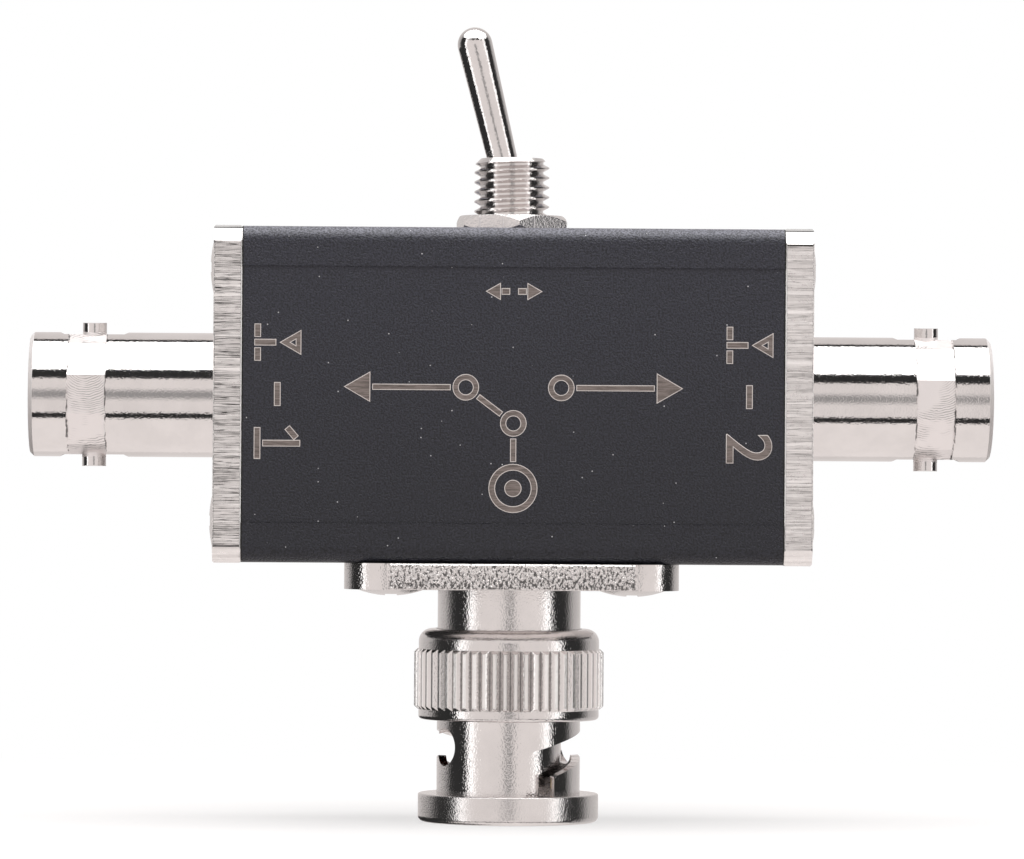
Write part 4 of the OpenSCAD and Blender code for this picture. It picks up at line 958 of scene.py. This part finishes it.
# Strips beside each outlet, in mm along the reading direction from the axis and up from their own middle
AERIAL_STRIPS = (
    ((-3.9, -1.75), (-3.9, -0.1)),
    ((-5.3, -1.5), (-4.29, -1.5)),
    ((-3.51, -1.5), (-2.5, -1.5)),
)
DIVIDER_STRIPS = (((-0.9, 0), (0.9, 0)),)
ONE_STRIPS = (
    ((3.7, -1.11), (3.7, 1.75)),
    ((2.5, 0.75), (3.31, 1.45)),
    ((2.5, -1.5), (4.9, -1.5)),
)
SIDE_MARK_X = 17.8 * MM
SIGN_OFFSET = 3.9 * MM
AERIAL_RISE = 1.24 * MM
AERIAL_RADIUS = 1.1 * MM
NUMERAL_HEIGHT = 3.5 * MM
# The marks in the middle: heights over the axis, and distances to the side
CHANGE_OVER_Z = 7.85 * MM
OUTLET_Z = 0.6 * MM
PLUG_Z = -7.0 * MM
COMMON_DROP = 2.7 * MM
CHANGE_OVER_LINE = (0.3 * MM, 0.95 * MM)
CHANGE_OVER_TIP = 2.15 * MM
CHANGE_OVER_ARROW = 1.15 * MM
CONTACT_X = 3.6 * MM
OUTLET_LINE_END = 10.65 * MM
OUTLET_TIP = 12.8 * MM
OUTLET_ARROW = 2.0 * MM
PLUG_RING_RADIUS = 1.85 * MM
PLUG_DOT_RADIUS = 0.65 * MM


def strip(start, end, width):
    """Flat bar from one point to another on the front, in X and Z."""
    start, end = Vector(start), Vector(end)
    along = end - start
    middle = (start + end) / 2
    begin()
    bpy.ops.mesh.primitive_plane_add(size=1.0, rotation=(math.pi / 2, 0, 0))
    piece = bpy.context.object
    piece.scale = (along.length, width, 1.0)
    settle(piece, "strip")
    piece.data.transform(Matrix.Translation((middle.x, 0, middle.y))
                         @ Matrix.Rotation(-math.atan2(along.y, along.x), 4, "Y"))
    return piece


def ring(center, radius, width, corners=40, turn=0.0):
    """Flat ring on the front, or a frame with a few corners."""
    begin()
    bpy.ops.mesh.primitive_circle_add(vertices=corners, radius=radius, fill_type="NGON",
                                      location=(center[0], 0, center[1]), rotation=(math.pi / 2, turn, 0))
    piece = settle(bpy.context.object, "ring")
    bpy.ops.object.mode_set(mode="EDIT")
    bpy.ops.mesh.select_all(action="SELECT")
    bpy.ops.mesh.inset(thickness=width)
    bpy.ops.mesh.delete(type="FACE")
    bpy.ops.object.mode_set(mode="OBJECT")
    return piece


def dot(center, radius):
    """Flat disc on the front."""
    begin()
    bpy.ops.mesh.primitive_circle_add(vertices=32, radius=radius, fill_type="NGON",
                                      location=(center[0], 0, center[1]), rotation=(math.pi / 2, 0, 0))
    return settle(bpy.context.object, "dot")


def arrow_head(tip, length, direction):
    """Flat triangle whose tip points along +X or -X."""
    begin()
    bpy.ops.mesh.primitive_circle_add(vertices=3, radius=length * 2 / 3, fill_type="NGON",
                                      rotation=(math.pi / 2, 0, 0))
    piece = settle(bpy.context.object, "arrow_head")
    turn = Matrix.Rotation(math.pi / 2 * direction, 4, "Y")
    piece.data.transform(Matrix.Translation((tip[0] - direction * length * 2 / 3, 0, tip[1])) @ turn)
    return piece


def numeral(digit, center, height):
    """A plain numeral that reads from top to bottom."""
    begin()
    bpy.ops.object.text_add()
    text = bpy.context.object
    text.data.body = digit
    text.data.align_x = "CENTER"
    text.data.align_y = "CENTER"
    text.data.resolution_u = 6
    text.data.offset = 0.012
    bpy.ops.object.convert(target="MESH")
    piece = bpy.context.object
    corners = [vertex.co.copy() for vertex in piece.data.vertices]
    low = Vector([min(c[i] for c in corners) for i in range(3)])
    high = Vector([max(c[i] for c in corners) for i in range(3)])
    size = height / (high.y - low.y)
    middle = (low + high) / 2
    piece.data.transform(Matrix.Translation((center[0], 0, center[1]))
                         @ Matrix.Rotation(math.pi / 2, 4, "Y")
                         @ Matrix.Rotation(math.pi / 2, 4, "X")
                         @ Matrix.Scale(size, 4) @ Matrix.Translation(-middle))
    return settle(piece, "numeral")


def side_strips(side_x, rows):
    """Strips given in mm along the reading direction and up from it, for marks read from top to bottom."""
    return [strip(*[(side_x + up * MM, axis_z - along * MM) for along, up in row], STROKE) for row in rows]


def side_marks(side_x, digit):
    """Mast with a three-cornered aerial, a divider and the outlet's number, read from top to bottom."""
    pieces = side_strips(side_x, AERIAL_STRIPS + DIVIDER_STRIPS)
    pieces.append(ring((side_x + AERIAL_RISE, axis_z + SIGN_OFFSET), AERIAL_RADIUS, STROKE * 0.85,
                       3, -math.pi / 2))
    if digit == "1":
        pieces += side_strips(side_x, ONE_STRIPS)
    else:
        pieces.append(numeral(digit, (side_x, axis_z - SIGN_OFFSET), NUMERAL_HEIGHT))
    return pieces


def make_marks():
    """Generic marks: numbered outlets, a change-over sign and the circuit between the sockets."""
    top, middle, bottom = axis_z + CHANGE_OVER_Z, axis_z + OUTLET_Z, axis_z + PLUG_Z
    common = middle - COMMON_DROP
    contact_edge = CONTACT_RADIUS + MARK_GAP
    pieces = side_marks(-SIDE_MARK_X, "1") + side_marks(SIDE_MARK_X, "2")
    for side in (-1, 1):
        pieces.append(strip(*[(side * x, top) for x in CHANGE_OVER_LINE], STROKE))
        pieces.append(arrow_head((side * CHANGE_OVER_TIP, top), CHANGE_OVER_ARROW, side))
        pieces.append(ring((side * CONTACT_X, middle), CONTACT_RADIUS, FINE_STROKE))
        pieces.append(strip((side * (CONTACT_X + contact_edge), middle), (side * OUTLET_LINE_END, middle),
                            FINE_STROKE))
        pieces.append(arrow_head((side * OUTLET_TIP, middle), OUTLET_ARROW, side))
    pieces.append(ring((0, common), CONTACT_RADIUS, FINE_STROKE))
    start, end = Vector((0, common)), Vector((-CONTACT_X, middle))
    inset = (end - start).normalized() * contact_edge
    pieces.append(strip(start + inset, end - inset, FINE_STROKE))
    pieces.append(strip((0, common - contact_edge), (0, bottom + PLUG_RING_RADIUS + MARK_GAP), FINE_STROKE))
    pieces.append(ring((0, bottom), PLUG_RING_RADIUS, STROKE))
    pieces.append(dot((0, bottom), PLUG_DOT_RADIUS))
    begin()
    for piece in pieces:
        piece.select_set(True)
    bpy.context.view_layer.objects.active = pieces[0]
    bpy.ops.object.join()
    marks = bpy.context.object
    raise_marks(marks)
    settle(marks, "front_marks")
    panel_y = housing_low.y + PANEL_DEPTH
    marks.data.transform(Matrix.Translation((0, panel_y, 0)))
    coat(marks, engraved_aluminium(panel_y - MARK_RISE - MARK_CHAMFER))
    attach(marks, "housing")


def raise_marks(marks):
    """Gives the flat marks a back, a thin wall and a chamfered front edge."""
    bpy.ops.object.mode_set(mode="EDIT")
    bpy.ops.mesh.select_all(action="SELECT")
    bpy.ops.mesh.remove_doubles(threshold=1e-7)
    bpy.ops.mesh.normals_make_consistent(inside=False)
    bpy.ops.object.mode_set(mode="OBJECT")
    for polygon in marks.data.polygons:
        if polygon.normal.y > 0:
            polygon.flip()
    bpy.ops.object.mode_set(mode="EDIT")
    bpy.ops.mesh.select_all(action="SELECT")
    bpy.ops.mesh.extrude_region_move(TRANSFORM_OT_translate={"value": (0, -MARK_RISE, 0)})
    bpy.ops.mesh.inset(thickness=MARK_EDGE, depth=MARK_CHAMFER, use_boundary=True)
    bpy.ops.mesh.select_all(action="SELECT")
    bpy.ops.mesh.normals_make_consistent(inside=False)
    bpy.ops.object.mode_set(mode="OBJECT")


bpy.context.scene.view_settings.view_transform = "Standard"
place_camera()
make_world()
place_softbox()
make_floor()
dress_nodes()
make_bushing()
make_wave_washer()
make_coil_spring()
make_marks()
